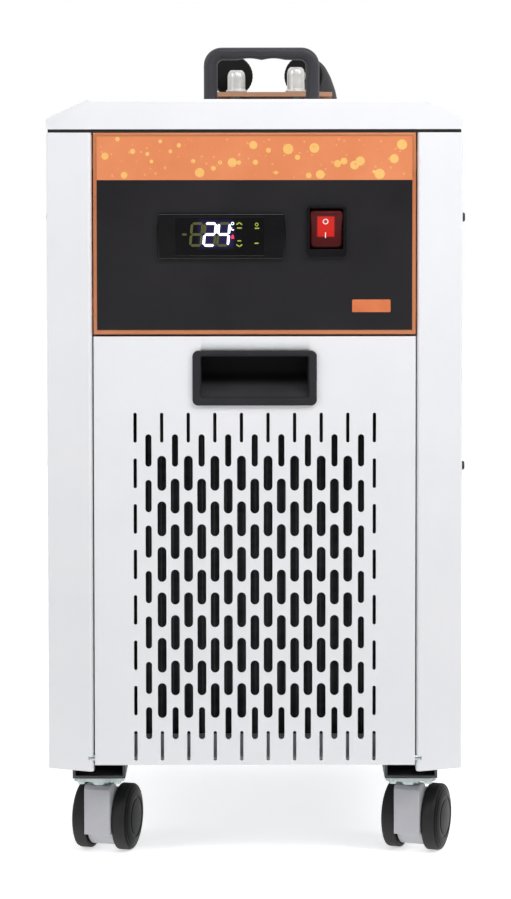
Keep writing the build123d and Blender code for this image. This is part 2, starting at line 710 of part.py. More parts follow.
def tank():
    """A welded steel vessel with a hole in its top under the filler neck."""
    x0, x1, y0, y1, z0, z1 = TANK
    vessel = box(x0, x1, y0, y1, z0, z1 + 2) - box(x0 + 1, x1 - 1, y0 + 1, y1 - 1, z0 + 1, z1)
    return vessel - Pos(FILLER_X, FILLER_Y, z1) * Cylinder(NECK_BORE, 10)


def tank_insulation():
    x0, x1, y0, y1, z0, z1 = TANK
    return box(x0 - FOAM, x1 + FOAM, y0 - FOAM, y1 + FOAM, SHELF_Z, z1) - box(x0, x1, y0, y1, z0, z1 + 1)


def evaporator_coil():
    """A flat serpentine tube lying on the tank's floor."""
    x0, x1, y0, y1, z0, _ = TANK
    z = z0 + 1 + 5
    corners = []
    for i in range(6):
        x = x0 + 24 + i * 30
        ends = [(x, y0 + 24, z), (x, y1 - 24, z)]
        corners += ends if i % 2 == 0 else ends[::-1]
    path = Polyline(*corners)
    return sweep(Plane(origin=corners[0], z_dir=(0, 1, 0)) * RegularPolygon(5.0, 8, rotation=22.5), path=path,
                 transition=Transition.RIGHT)


def component_shelf():
    """The shelf under the reservoir, with a lip at the front and a hole for the supply hose."""
    shelf = box(-HALF_W + SHEET, HALF_W - SHEET, FRONT + 34, BACK - 2 * SHEET, SHELF_Z - SHEET, SHELF_Z)
    lip = box(-HALF_W + SHEET, HALF_W - SHEET, FRONT + 34, FRONT + 34 + SHEET, SHELF_Z - 12, SHELF_Z)
    return shelf + lip - Pos(128, 140, SHELF_Z) * Cylinder(8, 10)


def pump():
    """A centrifugal pump: motor with a terminal box, head and two ports."""
    x, y, z = 100.0, 92.0, TRAY_Z + SHEET + 42
    sections = [(24, 0), (30, 4), (30, 80), (36, 80.5), (36, 98), (30, 99), (8, 99.5), (8, 112)]
    body = faceted(sections, 16, at=(x, y - 50, z), z_dir=(0, 1, 0))
    foot = box(x - 26, x + 26, y - 36, y + 16, TRAY_Z + SHEET, z - 20)
    outlet = faceted([(8, 0), (8, 46)], 10, at=(x + 24, y + 39, z))
    return body + foot + outlet


def filter_drier():
    """A copper can with drawn-in ends."""
    at = (-128.0, -60.0, 150.0)
    return faceted([(5, 0), (5, 12), (15, 22), (15, 92), (5, 102), (5, 114)], 12, at=at)


def discharge_pipe():
    x, y = COMPRESSOR
    z = TRAY_Z + SHEET + 10 + 90
    start = (x - 80, y, z)
    z_in = CONDENSER_Z[0] + 296
    y_in = sum(CONDENSER_Y) / 2
    end = (-CONDENSER_X - SHEET, y_in, z_in)
    return pipe([start, (-140, y, z), (-140, y, z_in), (-140, y_in, z_in), end], 4.0)


def liquid_pipe():
    y_out = sum(CONDENSER_Y) / 2
    z_out = CONDENSER_Z[0] + 14
    return pipe(
        [(-CONDENSER_X - SHEET, y_out, z_out), (-128, y_out, z_out), (-128, -60, z_out), (-128, -60, 150)], 4.0
    )


def capillary_pipe():
    level = 292
    start = [(-128, -60, 264), (-128, -60, level)]
    end = [(-128, -20, level), (-100, -20, level), (-100, -20, SHELF_Z - SHEET)]
    return pipe(start + end, 3.0)


def suction_pipe():
    x, y = COMPRESSOR
    z = TRAY_Z + SHEET + 10 + 110
    return pipe([(x + 80, y, z), (x + 100, y, z), (x + 100, y, SHELF_Z - SHEET)], 5.0)


def supply_hose():
    """From the pump's outlet up through the shelf to the supply valve's shank."""
    x, _, _ = VALVES["supply"]
    z, level = TRAY_Z + SHEET + 88, 548
    riser = [(124, 131, z), (124, 131, z + 40), (128, 140, z + 100), (128, 140, level)]
    return pipe(riser + [(x, VALVE_Y, level), (x, VALVE_Y, SHANK_END)], 5.0)


def return_hose():
    """A straight piece from the return valve's shank into the reservoir's top."""
    x, _, _ = VALVES["return"]
    return rod(5.0, (x, VALVE_Y, SHANK_END), (x, VALVE_Y, TANK[5] + 2))


def electrics_box():
    body = box(-120, 60, -148, -90, SHELF_Z, SHELF_Z + 120)
    return chamfer(body.edges().filter_by(Axis.Z), 3)


def mains_inlet():
    """A recessed appliance inlet with three blades, set in the back panel."""
    x0, x1 = INLET_CUT
    z0, z1 = INLET_CUT_Z
    flange = box(x0 - 3, x1 + 3, BACK, BACK + 3, z0 - 3, z1 + 3)
    body = flange + box(x0, x1, BACK - 22, BACK, z0, z1)
    body -= box(x0 + 2, x1 - 2, BACK - 16, BACK + 4, z0 + 2.5, z1 - 2.5)
    x, z = (x0 + x1) / 2, (z0 + z1) / 2
    for dx, dz in ((-7, -2), (0, 2), (7, -2)):
        body += box(x + dx - 1, x + dx + 1, BACK - 16, BACK - 1, z + dz - 2, z + dz + 2)
    return body


def drain_nozzle():
    """A plain hose spigot with a collar, which reaches out behind the cabinet."""
    length = REACH - BACK
    r = SPIGOT_R
    profile = [(0, -14), (DRAIN_R, -14), (DRAIN_R, 0), (9, 0), (9, 4), (r, 4), (r, length)]
    profile += [(3, length), (3, -10), (0, -10)]
    return turned(profile, z_dir=(0, 1, 0), at=(DRAIN_X, BACK, DRAIN_Z), x_dir=(1, 0, 0))


def panel_screw(y, z):
    """A black pan-headed screw in the cabinet's right wall."""
    head = Plane(origin=(HALF_W, y, z), z_dir=(1, 0, 0)) * RegularPolygon(3.8, 8)
    return extrude(head, amount=2.0, taper=20)


def panel_screws():
    heights = (488.0, 299.6)
    right = [panel_screw(FRONT + FACET_D + 6, z) for z in heights]
    left = [mirrored(panel_screw(FRONT + FACET_D + 30, z)) for z in heights]
    rear = [panel_screw(BACK - 24, z) for z in heights]
    return group(right + left + rear + [mirrored(s) for s in rear])


def build():
    right = side_panel()
    save("side_panel_right", right)
    save("side_panel_left", mirrored(right))
    save("base_tray", base_tray())
    save("castor_rails", group([castor_rail(-CASTOR_X), castor_rail(CASTOR_X)]))
    save("rear_panel", rear_panel())
    save("top_cover", top_cover())
    save("lid_gasket", lid_gasket())
    save("component_shelf", component_shelf())
    save("panel_screws", panel_screws())

    save("fascia", fascia())
    save("fascia_overlay", fascia_overlay())
    save("band_print", band_print())
    save("band_dots", band_dots())
    save("controller", controller())
    save("controller_window", controller_window())
    save("display_digits", display_digits())
    save("switch_bezel", switch_bezel())
    save("rocker", rocker())

    save("door_panel", door_panel())
    save("door_pull", door_pull())
    save("door_hinge_pins", hinge_pins())

    save("top_handle", top_handle())
    save("connection_bracket", connection_bracket())
    for name in VALVES:
        save(f"{name}_valve", valve(name))
        save(f"{name}_knob", knob(name))
    save("filler_neck", filler_neck())
    save("filler_cap", filler_cap())

    plates, bolts = [], []
    for name in CASTOR_TURNS:
        x, y = castor_spot(name)
        plates.append(Pos(x, y, 0) * castor_plate())
        corners = [(x + dx, y + dy) for dx in (-BOLT_AT, BOLT_AT) for dy in (-BOLT_AT, BOLT_AT)]
        bolts += [Pos(*corner, 0) * castor_bolt() for corner in corners]
        place = Pos(x, y, 0) * Rotation(0, 0, -CASTOR_TURNS[name])
        save(f"castor_hood_{name}", place * castor_hood())
        save(f"wheel_{name}_inner", place * castor_wheel(1 if "left" in name else -1))
        save(f"wheel_{name}_outer", place * castor_wheel(-1 if "left" in name else 1))
    save("castor_plates", group(plates))
    save("castor_bolts", group(bolts))

    save("condenser", condenser())
    save("fan_shroud", fan_shroud())
    save("fan_motor", fan_motor())
    save("fan", fan())
    save("compressor", compressor())
    save("compressor_feet", compressor_feet())
    save("filter_drier", filter_drier())
    pipes = [discharge_pipe(), liquid_pipe(), capillary_pipe(), suction_pipe(), condenser_bends()]
    save("copper_pipes", group(pipes))
    save("tank", tank())
    save("tank_insulation", tank_insulation())
    save("evaporator_coil", evaporator_coil())
    save("pump", pump())
    save("hoses", group([supply_hose(), return_hose()]))
    save("electrics_box", electrics_box())
    save("mains_inlet", mains_inlet())
    save("drain_nozzle", drain_nozzle())


build()
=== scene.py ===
# %% [markdown]
# # A recirculating chiller
# A white sheet-metal tower stands on four twin-wheel castors. Its door is a slotted grille, its console carries
# a temperature display and a lit switch, and a bow handle, two valves and a filler cap stand on its lid.
# The imported CAD model is the skeleton of this scene. First it is loaded.

# %% Load the skeleton
import json
from math import cos, pi, radians, sin

import bmesh
import bpy
import numpy as np
from mathutils import Matrix, Vector

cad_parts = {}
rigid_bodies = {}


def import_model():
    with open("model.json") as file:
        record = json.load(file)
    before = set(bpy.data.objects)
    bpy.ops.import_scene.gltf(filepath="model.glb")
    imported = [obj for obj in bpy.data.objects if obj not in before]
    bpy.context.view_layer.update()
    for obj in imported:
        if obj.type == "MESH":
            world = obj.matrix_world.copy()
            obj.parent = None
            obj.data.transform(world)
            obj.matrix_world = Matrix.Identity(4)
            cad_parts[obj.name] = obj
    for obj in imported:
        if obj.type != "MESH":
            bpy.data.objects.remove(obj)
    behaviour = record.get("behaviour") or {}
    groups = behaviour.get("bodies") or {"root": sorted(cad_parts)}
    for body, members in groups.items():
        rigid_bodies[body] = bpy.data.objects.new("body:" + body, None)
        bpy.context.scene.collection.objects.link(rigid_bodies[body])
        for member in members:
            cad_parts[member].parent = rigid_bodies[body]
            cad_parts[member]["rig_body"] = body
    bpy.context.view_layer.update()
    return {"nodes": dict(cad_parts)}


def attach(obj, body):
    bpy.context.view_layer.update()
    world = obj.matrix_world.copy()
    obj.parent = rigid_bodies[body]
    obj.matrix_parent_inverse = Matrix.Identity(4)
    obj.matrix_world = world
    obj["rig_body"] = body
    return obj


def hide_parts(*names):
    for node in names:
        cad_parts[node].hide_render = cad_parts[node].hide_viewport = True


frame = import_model()
MM = 0.001

# %% [markdown]
# ## The camera
# A photograph taken from two metres away flattens an object, so the camera stands far off with a long lens.
# Its height shows in the lines that run to the back: those at eye level stay level. Here that is just above the
# console. The cabinet's upright edges are almost parallel in the picture, so the lens looks down only a little, and
# a shift of the lens, as on a studio camera, brings the foot into the frame. The sensor's 36 mm belong to the long
# side of the picture, so a focal length in pixels becomes millimetres by dividing by the picture's height.

# %% Set up the camera
PICTURE_H, FOCAL_PIXELS = 899, 2870
LOOKS_DOWN, LEANS, SHIFT = 2.79, -0.05, -0.2
FRONT = -222.0
EYE_X, EYE_Y, EYE_Z = 0.7, FRONT - 2150, 554
camera_data = bpy.data.cameras.new("photo_camera")
camera_data.sensor_width = 36
camera_data.lens = FOCAL_PIXELS * 36 / PICTURE_H
camera_data.clip_end = 50
camera_data.shift_y = SHIFT
camera = bpy.data.objects.new("photo_camera", camera_data)
bpy.context.scene.collection.objects.link(camera)
tilt = Matrix.Rotation(radians(90 - LOOKS_DOWN), 4, "X") @ Matrix.Rotation(radians(LEANS), 4, "Z")
camera.matrix_world = Matrix.Translation((EYE_X * MM, EYE_Y * MM, EYE_Z * MM)) @ tilt
bpy.context.scene.camera = camera
print("lens in mm:", round(camera_data.lens, 1))

# %% [markdown]
# ## The studio
# The chiller stands in a white studio with no hard shadow. The world is white behind it and grey behind the camera,
# so that dark, glossy parts mirror a grey room and stay dark, while the backdrop itself looks white from all sides.
# One wide lamp hangs above the front and a little to the right, which makes the upper part brighter than the foot,
# and two more fill in from the sides. Shade painted into the white paint's lower part adds to that fall. The camera
# doesn't see the lamps themselves. The standard view transform keeps white paint white.

# %% Set up the floor and the lights
scene = bpy.context.scene
scene.view_settings.view_transform = "Standard"
world = bpy.data.worlds.new("studio")
world.use_nodes = True
sky, wires = world.node_tree.nodes, world.node_tree.links
direction = sky.new("ShaderNodeTexCoord").outputs["Generated"]
split = sky.new("ShaderNodeSeparateXYZ")
shift = sky.new("ShaderNodeMapRange")
shift.inputs["From Min"].default_value, shift.inputs["From Max"].default_value = -1.0, 1.0
room = sky.new("ShaderNodeValToRGB")
grey_end, white_end = room.color_ramp.elements
grey_end.position, grey_end.color = 0.48, (0.13, 0.13, 0.135, 1)
white_end.position, white_end.color = 0.56, (1, 1, 1, 1)
backdrop = sky.new("ShaderNodeMix")
backdrop.data_type = "RGBA"
backdrop.inputs[7].default_value = (1, 1, 1, 1)
wires.new(direction, split.inputs[0])
wires.new(split.outputs["Y"], shift.inputs["Value"])
wires.new(shift.outputs["Result"], room.inputs["Fac"])
wires.new(sky.new("ShaderNodeLightPath").outputs["Is Camera Ray"], backdrop.inputs[0])
wires.new(room.outputs["Color"], backdrop.inputs[6])
wires.new(backdrop.outputs[2], sky["Background"].inputs["Color"])
scene.world = world


def soft_lamp(name, place, aim, size, power):
    """A rectangular lamp that shines from place towards aim; all lengths are metres."""
    data = bpy.data.lights.new(name, "AREA")
    data.shape = "RECTANGLE"
    data.size, data.size_y = size
    data.energy = power
    lamp = bpy.data.objects.new(name, data)
    lamp.location = place
    lamp.rotation_euler = (Vector(aim) - Vector(place)).to_track_quat("-Z", "Y").to_euler()
    lamp.visible_camera = False
    scene.collection.objects.link(lamp)
    return lamp


soft_lamp("over_front", (0.3, -1.0, 1.6), (0, -0.2, 0.55), (1.0, 0.5), 11.8)
soft_lamp("left_side", (-2.2, -1.4, 1.6), (0, 0, 0.5), (1.0, 1.2), 21.8)
soft_lamp("right_side", (2.0, -1.4, 1.8), (0.1, 0, 0.6), (0.8, 1.0), 20.3)

# %% [markdown]
# ## Finishes
# A real surface is never one flat colour. Every finish here mixes two shades of one colour in soft clouds, varies its
# gloss in the same way, and carries a fine relief: orange peel on powder coat, grain on moulded plastic, brush
# lines on metal. The patterns read Object coordinates, so they stay on the piece when it moves, and they need
# no picture. Values that don't vary, such as the clear coat, are set on the shader itself.

# %% Make finishes from noise
def linear(level):
    """A screen level from 0 to 255 as the linear light that a shader wants: the standard curve of a screen."""
    v = np.asarray(level, float) / 255
    return np.where(v <= 0.04045, v / 12.92, ((v + 0.055) / 1.055) ** 2.4)


def colour(*levels):
    return (*[float(v) for v in linear(levels)], 1.0)


def connect(tree, node_type, **values):
    """A new node whose sockets are filled by name from plain values or from other sockets."""
    node = tree.nodes.new(node_type)
    for key, value in values.items():
        socket = node.inputs[key.replace("_", " ")] if key.replace("_", " ") in node.inputs else None
        if socket is None:
            setattr(node, key, value)
        elif isinstance(value, bpy.types.NodeSocket):
            tree.links.new(value, socket)
        else:
            socket.default_value = value
    return node


def between(tree, factor, low, high, start=0.3, end=0.7):
    """A colour ramp from low to high, driven by factor."""
    ramp = tree.nodes.new("ShaderNodeValToRGB")
    ramp.color_ramp.elements[0].position, ramp.color_ramp.elements[1].position = start, end
    ramp.color_ramp.elements[0].color, ramp.color_ramp.elements[1].color = low, high
    tree.links.new(factor, ramp.inputs["Fac"])
    return ramp.outputs["Color"]


def make_finish(name, light, dark, rough=(0.4, 0.5), metal=0.0, clouds=14.0, grain=1500.0, relief=0.05,
                stretch=(1, 1, 1), coat=0.0, shine=0.5):
    """A finish: two colours mixed by slow noise, roughness by the same noise, relief by fast noise. Shine is the
    mirror part of a plain surface: 0.5 for most plastics and paints, less where a film lies on top."""
    material = bpy.data.materials.new(name)
    material.use_nodes = True
    tree = material.node_tree
    shader = tree.nodes["Principled BSDF"]
    place = tree.nodes.new("ShaderNodeTexCoord").outputs["Object"]
    mapped = connect(tree, "ShaderNodeMapping", Vector=place, Scale=stretch).outputs["Vector"]
    slow = connect(tree, "ShaderNodeTexNoise", Vector=mapped, Scale=clouds, Detail=4.0, Roughness=0.6)
    fast = connect(tree, "ShaderNodeTexNoise", Vector=mapped, Scale=grain, Detail=2.0, Roughness=0.55)
    tree.links.new(between(tree, slow.outputs["Fac"], colour(*dark), colour(*light)), shader.inputs["Base Color"])
    gloss = tree.nodes.new("ShaderNodeMapRange")
    gloss.inputs["From Min"].default_value, gloss.inputs["From Max"].default_value = 0.3, 0.7
    gloss.inputs["To Min"].default_value, gloss.inputs["To Max"].default_value = rough
    tree.links.new(slow.outputs["Fac"], gloss.inputs["Value"])
    tree.links.new(gloss.outputs["Result"], shader.inputs["Roughness"])
    bump = connect(tree, "ShaderNodeBump", Height=fast.outputs["Fac"], Strength=relief, Distance=0.0004)
    tree.links.new(bump.outputs["Normal"], shader.inputs["Normal"])
    shader.inputs["Metallic"].default_value = metal
    shader.inputs["Coat Weight"].default_value = coat
    shader.inputs["Specular IOR Level"].default_value = shine
    return material


def soft_box(material, middle, halves, soft, axes="XZ"):
    """A value that is one within a box on two axes and fades to nothing outside it; all lengths are millimetres."""
    tree = material.node_tree
    place = connect(tree, "ShaderNodeSeparateXYZ", Vector=tree.nodes.new("ShaderNodeTexCoord").outputs["Object"])
    product = connect(tree, "ShaderNodeMath", operation="MULTIPLY")
    for socket, axis, centre, half in zip(product.inputs, axes, middle, halves):
        away = connect(tree, "ShaderNodeMath", operation="SUBTRACT")
        tree.links.new(place.outputs[axis], away.inputs[0])
        away.inputs[1].default_value = centre * MM
        size = connect(tree, "ShaderNodeMath", operation="ABSOLUTE")
        tree.links.new(away.outputs[0], size.inputs[0])
        tree.links.new(faded(tree, size.outputs[0], half * MM, (half + soft) * MM, 0.0), socket)
    return product.outputs[0]


def faded(tree, value, start, end, least):
    """One before start, least after end, and a smooth step between."""
    fade = connect(tree, "ShaderNodeMapRange", interpolation_type="SMOOTHSTEP", Value=value)
    fade.inputs["From Min"].default_value, fade.inputs["From Max"].default_value = start, end
    fade.inputs["To Min"].default_value, fade.inputs["To Max"].default_value = 1.0, least
    return fade.outputs["Result"]


def scaled(tree, value, factor, extra=0.0):
    """Value times factor plus extra, which is a number or another value."""
    node = connect(tree, "ShaderNodeMath", operation="MULTIPLY_ADD")
    tree.links.new(value, node.inputs[0])
    node.inputs[1].default_value = factor
    if isinstance(extra, bpy.types.NodeSocket):
        tree.links.new(extra, node.inputs[2])
    else:
        node.inputs[2].default_value = extra
    return node.outputs[0]


def lit_within(material, light, strength, middle, halves, soft, axes="XZ", extra=0.0):
    """Lets a soft-edged box of light shine through a finish; extra is the glow that is there without the box."""
    tree = material.node_tree
    shader = tree.nodes["Principled BSDF"]
    shader.inputs["Emission Color"].default_value = light
    glow_here = scaled(tree, soft_box(material, middle, halves, soft, axes), strength, extra)
    tree.links.new(glow_here, shader.inputs["Emission Strength"])


def painted_shade_along(material, axis, start, end, least):
    """Paints shade into a finish: multiplies its colour by a share that falls from one at start to least at end along
    an axis.
    """
    tree = material.node_tree
    shader = tree.nodes["Principled BSDF"]
    place = connect(tree, "ShaderNodeSeparateXYZ", Vector=tree.nodes.new("ShaderNodeTexCoord").outputs["Object"])
    share = faded(tree, place.outputs[axis], start * MM, end * MM, least)
    product = connect(tree, "ShaderNodeVectorMath", operation="MULTIPLY")
    tree.links.new(shader.inputs["Base Color"].links[0].from_socket, product.inputs[0])
    tree.links.new(share, product.inputs[1])
    tree.links.new(product.outputs[0], shader.inputs["Base Color"])


powder_white = make_finish("powder_coat_white", (238, 238, 241), (234, 235, 238), (0.38, 0.48), relief=0.12,
                           grain=900, coat=0.08)
console_orange = make_finish("console_orange_paint", (206, 130, 84), (190, 114, 72), (0.26, 0.34), grain=1200,
                             coat=0.3)
field_black = make_finish("console_dark_film", (33, 31, 34), (27, 25, 28), (0.34, 0.44), relief=0.14, grain=2600,
                          shine=0.3)
bezel_black = make_finish("gloss_black_moulding", (15, 15, 17), (10, 10, 12), (0.16, 0.26), relief=0.02, shine=0.35)
handle_grey = make_finish("handle_dark_moulding", (60, 60, 64), (52, 52, 56), (0.44, 0.55), relief=0.22, shine=0.35)
pull_grey_painted_shade = make_finish("pull_dark_moulding", (50, 50, 54), (41, 41, 44), (0.55, 0.65), relief=0.22, shine=0.12)
knob_black = make_finish("knob_black_moulding", (15, 15, 17), (10, 10, 12), (0.45, 0.58), relief=0.2, shine=0.2)
cap_grey = make_finish("cap_dark_moulding", (60, 60, 63), (48, 48, 52), (0.5, 0.62), relief=0.25, shine=0.35)
hood_grey = make_finish("castor_grey_moulding", (176, 176, 181), (166, 166, 171), (0.4, 0.5), relief=0.12)
tread_rubber = make_finish("castor_black_moulding", (34, 32, 33), (22, 21, 23), (0.48, 0.66), clouds=60, shine=0.3,
                           relief=0.25)
seal_rubber = make_finish("seal_black_rubber", (26, 25, 26), (19, 18, 19), (0.6, 0.75), relief=0.3)
zinc = make_finish("zinc_plate", (190, 200, 199), (150, 160, 160), (0.24, 0.4), metal=0.9, clouds=90, relief=0.05)
nickel = make_finish("satin_nickel_plate", (226, 226, 223), (206, 205, 202), (0.28, 0.4), metal=0.3, clouds=50,
                     relief=0.03)
bracket_paint = make_finish("bracket_orange_paint", (182, 138, 110), (164, 120, 94), (0.32, 0.42), relief=0.1)
rail_dark = make_finish("rail_dark_paint", (74, 76, 80), (58, 60, 64), (0.5, 0.62), relief=0.15)
tray_steel = make_finish("tray_galvanised", (176, 178, 180), (146, 149, 152), (0.32, 0.5), metal=0.85, clouds=45,
                         relief=0.05)
fin_dark = make_finish("fin_dark_coating", (76, 77, 80), (52, 53, 56), (0.5, 0.65), shine=0.3,
                       stretch=(1, 1, 8))
copper = make_finish("copper_tube", (196, 124, 88), (150, 84, 58), (0.25, 0.45), metal=1.0, clouds=60)
machine_black = make_finish("machine_black_paint", (38, 39, 41), (27, 28, 30), (0.4, 0.6), relief=0.2)
machine_grey = make_finish("machine_grey_moulding", (120, 122, 126), (98, 100, 104), (0.45, 0.6), relief=0.15)
steel_bright = make_finish("stainless_sheet", (206, 208, 210), (184, 186, 188), (0.2, 0.36), metal=1.0,
                           stretch=(1, 1, 14), clouds=30)
foam_black = make_finish("insulation_foam", (50, 51, 54), (34, 35, 38), (0.8, 0.95), clouds=120, grain=700,
                         relief=0.7)
hose_grey = make_finish("hose_grey_rubber", (96, 99, 104), (78, 81, 86), (0.5, 0.6), relief=0.1)
# The pull's cup darkens with depth: painted shade in its hold under the rim.
painted_shade_along(pull_grey_painted_shade, "Y", -215.0, -205.5, 0.12)
# The valves darken below the bracket's top: painted shade where their shanks pass under the bracket.
painted_shade_along(nickel, "Z", 586.5, 585.0, 0.2)
# The white paint darkens a little towards the foot: painted shade, on top of the lamp's own fall from top to foot.
painted_shade_along(powder_white, "Z", 560.0, 40.0, 0.9)
print("finishes:", len(bpy.data.materials))

# %% [markdown]
# ## The skeleton's own parts
# Flat sheets and hidden machinery have their true shape in the CAD model, so they stay and only change their finish.

# %% Dress the CAD parts
def dress(finish, *names):
    """Puts a finish on CAD nodes, in the material slots that they came with."""
    for name in names:
        node = frame["nodes"][name]
        if not node.material_slots:
            node.data.materials.append(finish)
        for place in node.material_slots:
            place.material = finish


CASTORS = ("front_left", "front_right", "rear_left", "rear_right")
dress(powder_white, "side_panel_left", "side_panel_right", "rear_panel", "top_cover", "door_panel")
dress(seal_rubber, "lid_gasket", "compressor_feet")
dress(tray_steel, "base_tray", "component_shelf")
dress(rail_dark, "castor_rails")
dress(console_orange, "fascia")
dress(field_black, "fascia_overlay")
dress(bezel_black, "controller", "switch_bezel")
dress(handle_grey, "top_handle")
dress(pull_grey_painted_shade, "door_pull")
dress(bracket_paint, "connection_bracket")
dress(nickel, "supply_valve", "return_valve")
dress(knob_black, "supply_knob", "return_knob")
dress(cap_grey, "filler_cap")
dress(machine_grey, "filler_neck", "electrics_box")
dress(machine_black, "compressor", "fan_motor", "pump", "fan", "fan_shroud", "mains_inlet", "drain_nozzle",
      "panel_screws")
dress(fin_dark, "condenser")
dress(copper, "copper_pipes", "evaporator_coil", "filter_drier")
dress(steel_bright, "tank")
dress(foam_black, "tank_insulation")
dress(hose_grey, "hoses")
dress(zinc, "castor_plates", "castor_bolts", "door_hinge_pins")
dress(hood_grey, *[f"castor_hood_{name}" for name in CASTORS])
dress(tread_rubber, *[f"wheel_{name}_{side}" for name in CASTORS for side in ("inner", "outer")])

# %% [markdown]
# ## Surfaces from arrays
# A shape can be written as a grid: one index runs along it, the other round it, and a formula gives every point at
# once. The helpers here turn such a grid into quads, join several grids, merge equal points so that poles and
# seams close, and point all faces outwards. Lengths stay in millimetres until the last step.

# %% Turn grids into pieces
def quads(rows, columns, around=False, start=0):
    """Quads between neighbours of a rows x columns grid; around=True also joins the last column to the first."""
    i, j = np.meshgrid(np.arange(rows - 1), np.arange(columns - (0 if around else 1)), indexing="ij")
    k = (j + 1) % columns
    return start + np.stack([i * columns + j, i * columns + k, (i + 1) * columns + k, (i + 1) * columns + j],
                            -1).reshape(-1, 4)


def sheet_of(grid, around=False):
    """One surface as (points, faces) from a grid of shape rows x columns x 3."""
    return grid.reshape(-1, 3), quads(grid.shape[0], grid.shape[1], around)


def together(*surfaces):
    """Several surfaces as one: the points stacked, each set of face numbers moved on by the points before it."""
    offsets = np.cumsum([0] + [len(points) for points, _ in surfaces[:-1]])
    return (np.concatenate([points for points, _ in surfaces]),
            np.concatenate([faces + offset for (_, faces), offset in zip(surfaces, offsets)]))


def piece(name, surface, finish, body, replaces=(), outward=None, sharp=32):
    """Makes the object: merges equal points, turns faces outwards and hands it to its body.
    An open sheet has no inside, so outward gives the direction that most of its faces look in."""
    points, faces = surface
    mesh = bpy.data.meshes.new(name)
    mesh.from_pydata((np.asarray(points) * MM).tolist(), [], np.asarray(faces).tolist())
    work = bmesh.new()
    work.from_mesh(mesh)
    bmesh.ops.remove_doubles(work, verts=work.verts, dist=2e-6)
    bmesh.ops.dissolve_degenerate(work, edges=work.edges, dist=1e-6)
    bmesh.ops.recalc_face_normals(work, faces=work.faces)
    if outward is not None and sum((f.normal * f.calc_area() for f in work.faces), Vector()) @ Vector(outward) < 0:
        bmesh.ops.reverse_faces(work, faces=work.faces)
    work.to_mesh(mesh)
    work.free()
    mesh.shade_smooth()
    mesh.set_sharp_from_angle(angle=radians(sharp))
    mesh.materials.append(finish)
    made = bpy.data.objects.new(name, mesh)
    scene.collection.objects.link(made)
    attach(made, body)
    if replaces:
        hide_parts(*replaces)
    return made


def eased(profile, size, steps=4):
    """Corners of an open profile become short curves: from size before a corner to size after it, with the corner
    as the curve's control point, so a point is (1-t)(1-t) before + 2t(1-t) corner + t t after."""
    p = np.asarray(profile, float)
    size = np.broadcast_to(size, len(p))[:, None]

    def towards(q):
        step = q - p
        length = np.maximum(np.linalg.norm(step, axis=1, keepdims=True), 1e-9)
        return p + step / length * np.minimum(size, length * 0.48)

    a, c = towards(np.roll(p, 1, 0))[:, None], towards(np.roll(p, -1, 0))[:, None]
    t = np.linspace(0, 1, steps + 1)[None, :, None]
    curve = (1 - t) ** 2 * a + 2 * t * (1 - t) * p[:, None] + t ** 2 * c
    curve[0], curve[-1] = p[0], p[-1]
    return curve.reshape(-1, 2)


def turned(profile, centre, axis=(0, 0, 1), sides=48, flutes=None):
    """A profile of (radius, height) carried round an axis: centre + radius (cos a u + sin a v) + height axis.
    flutes(angle, radius) may scale the radius on the way round."""
    w = np.array(Vector(axis).normalized())
    u = np.cross(w, (0, 0, 1.0)) if abs(w[2]) < 0.9 else np.array((1.0, 0, 0))
    u = u / np.linalg.norm(u)
    v = np.cross(w, u)
    angle = np.linspace(0, 2 * pi, sides, endpoint=False)
    radius, height = np.asarray(profile, float).T
    scale = 1 if flutes is None else flutes(angle[None, :], radius[:, None])
    reach = (radius[:, None] * scale)[..., None]
    ring = np.cos(angle)[:, None] * u + np.sin(angle)[:, None] * v
    return sheet_of(np.asarray(centre, float) + reach * ring + height[:, None, None] * w, around=True)


print("helpers ready")

# %% [markdown]
# ## The grille door
# The real door is punched sheet with folded edges, and its upright slots are staggered from column to column. Cutting
# 143 holes with booleans would be slow and leave messy faces, so the sheet is tiled instead: each slot sits in
# its own rectangle, and a ring of quads joins the rectangle's edge to the slot's edge. Both have 32 points, so
# the ring is one array operation for all slots. A second ring turns the slot's edge inwards, and a Solidify
# modifier gives the sheet its thickness. A Python loop over holes isn't needed.

# %% Tile the slots
COLUMNS, PITCH, ROW = 19, 10.0, 34.5
GRILLE_TOP, DOOR_LOW, DOOR_HIGH, DOOR_HALF, EDGE = 330.3, 74.0, 399.0, 121.0, 0.6
SIZES = {"wide": (6.6, 26.5), "medium": (4.6, 24.5), "narrow": (2.5, 22.5)}


def slot_list():
    """Centre x, centre z, width and length of every slot: the field's outer rows and columns have slimmer ones."""
    found = []
    for column in range(COLUMNS):
        odd = column % 2
        rows = 8 - odd
        for row in range(rows):
            outer_row, side = row in (0, rows - 1), min(column, COLUMNS - 1 - column)
            narrow, medium = side == 0 or (outer_row and not odd), side == 1 or outer_row
            kind = "narrow" if narrow else "medium" if medium else "wide"
            found.append(((column - 9) * PITCH, GRILLE_TOP - (row + odd / 2) * ROW, *SIZES[kind]))
    return np.array(found)


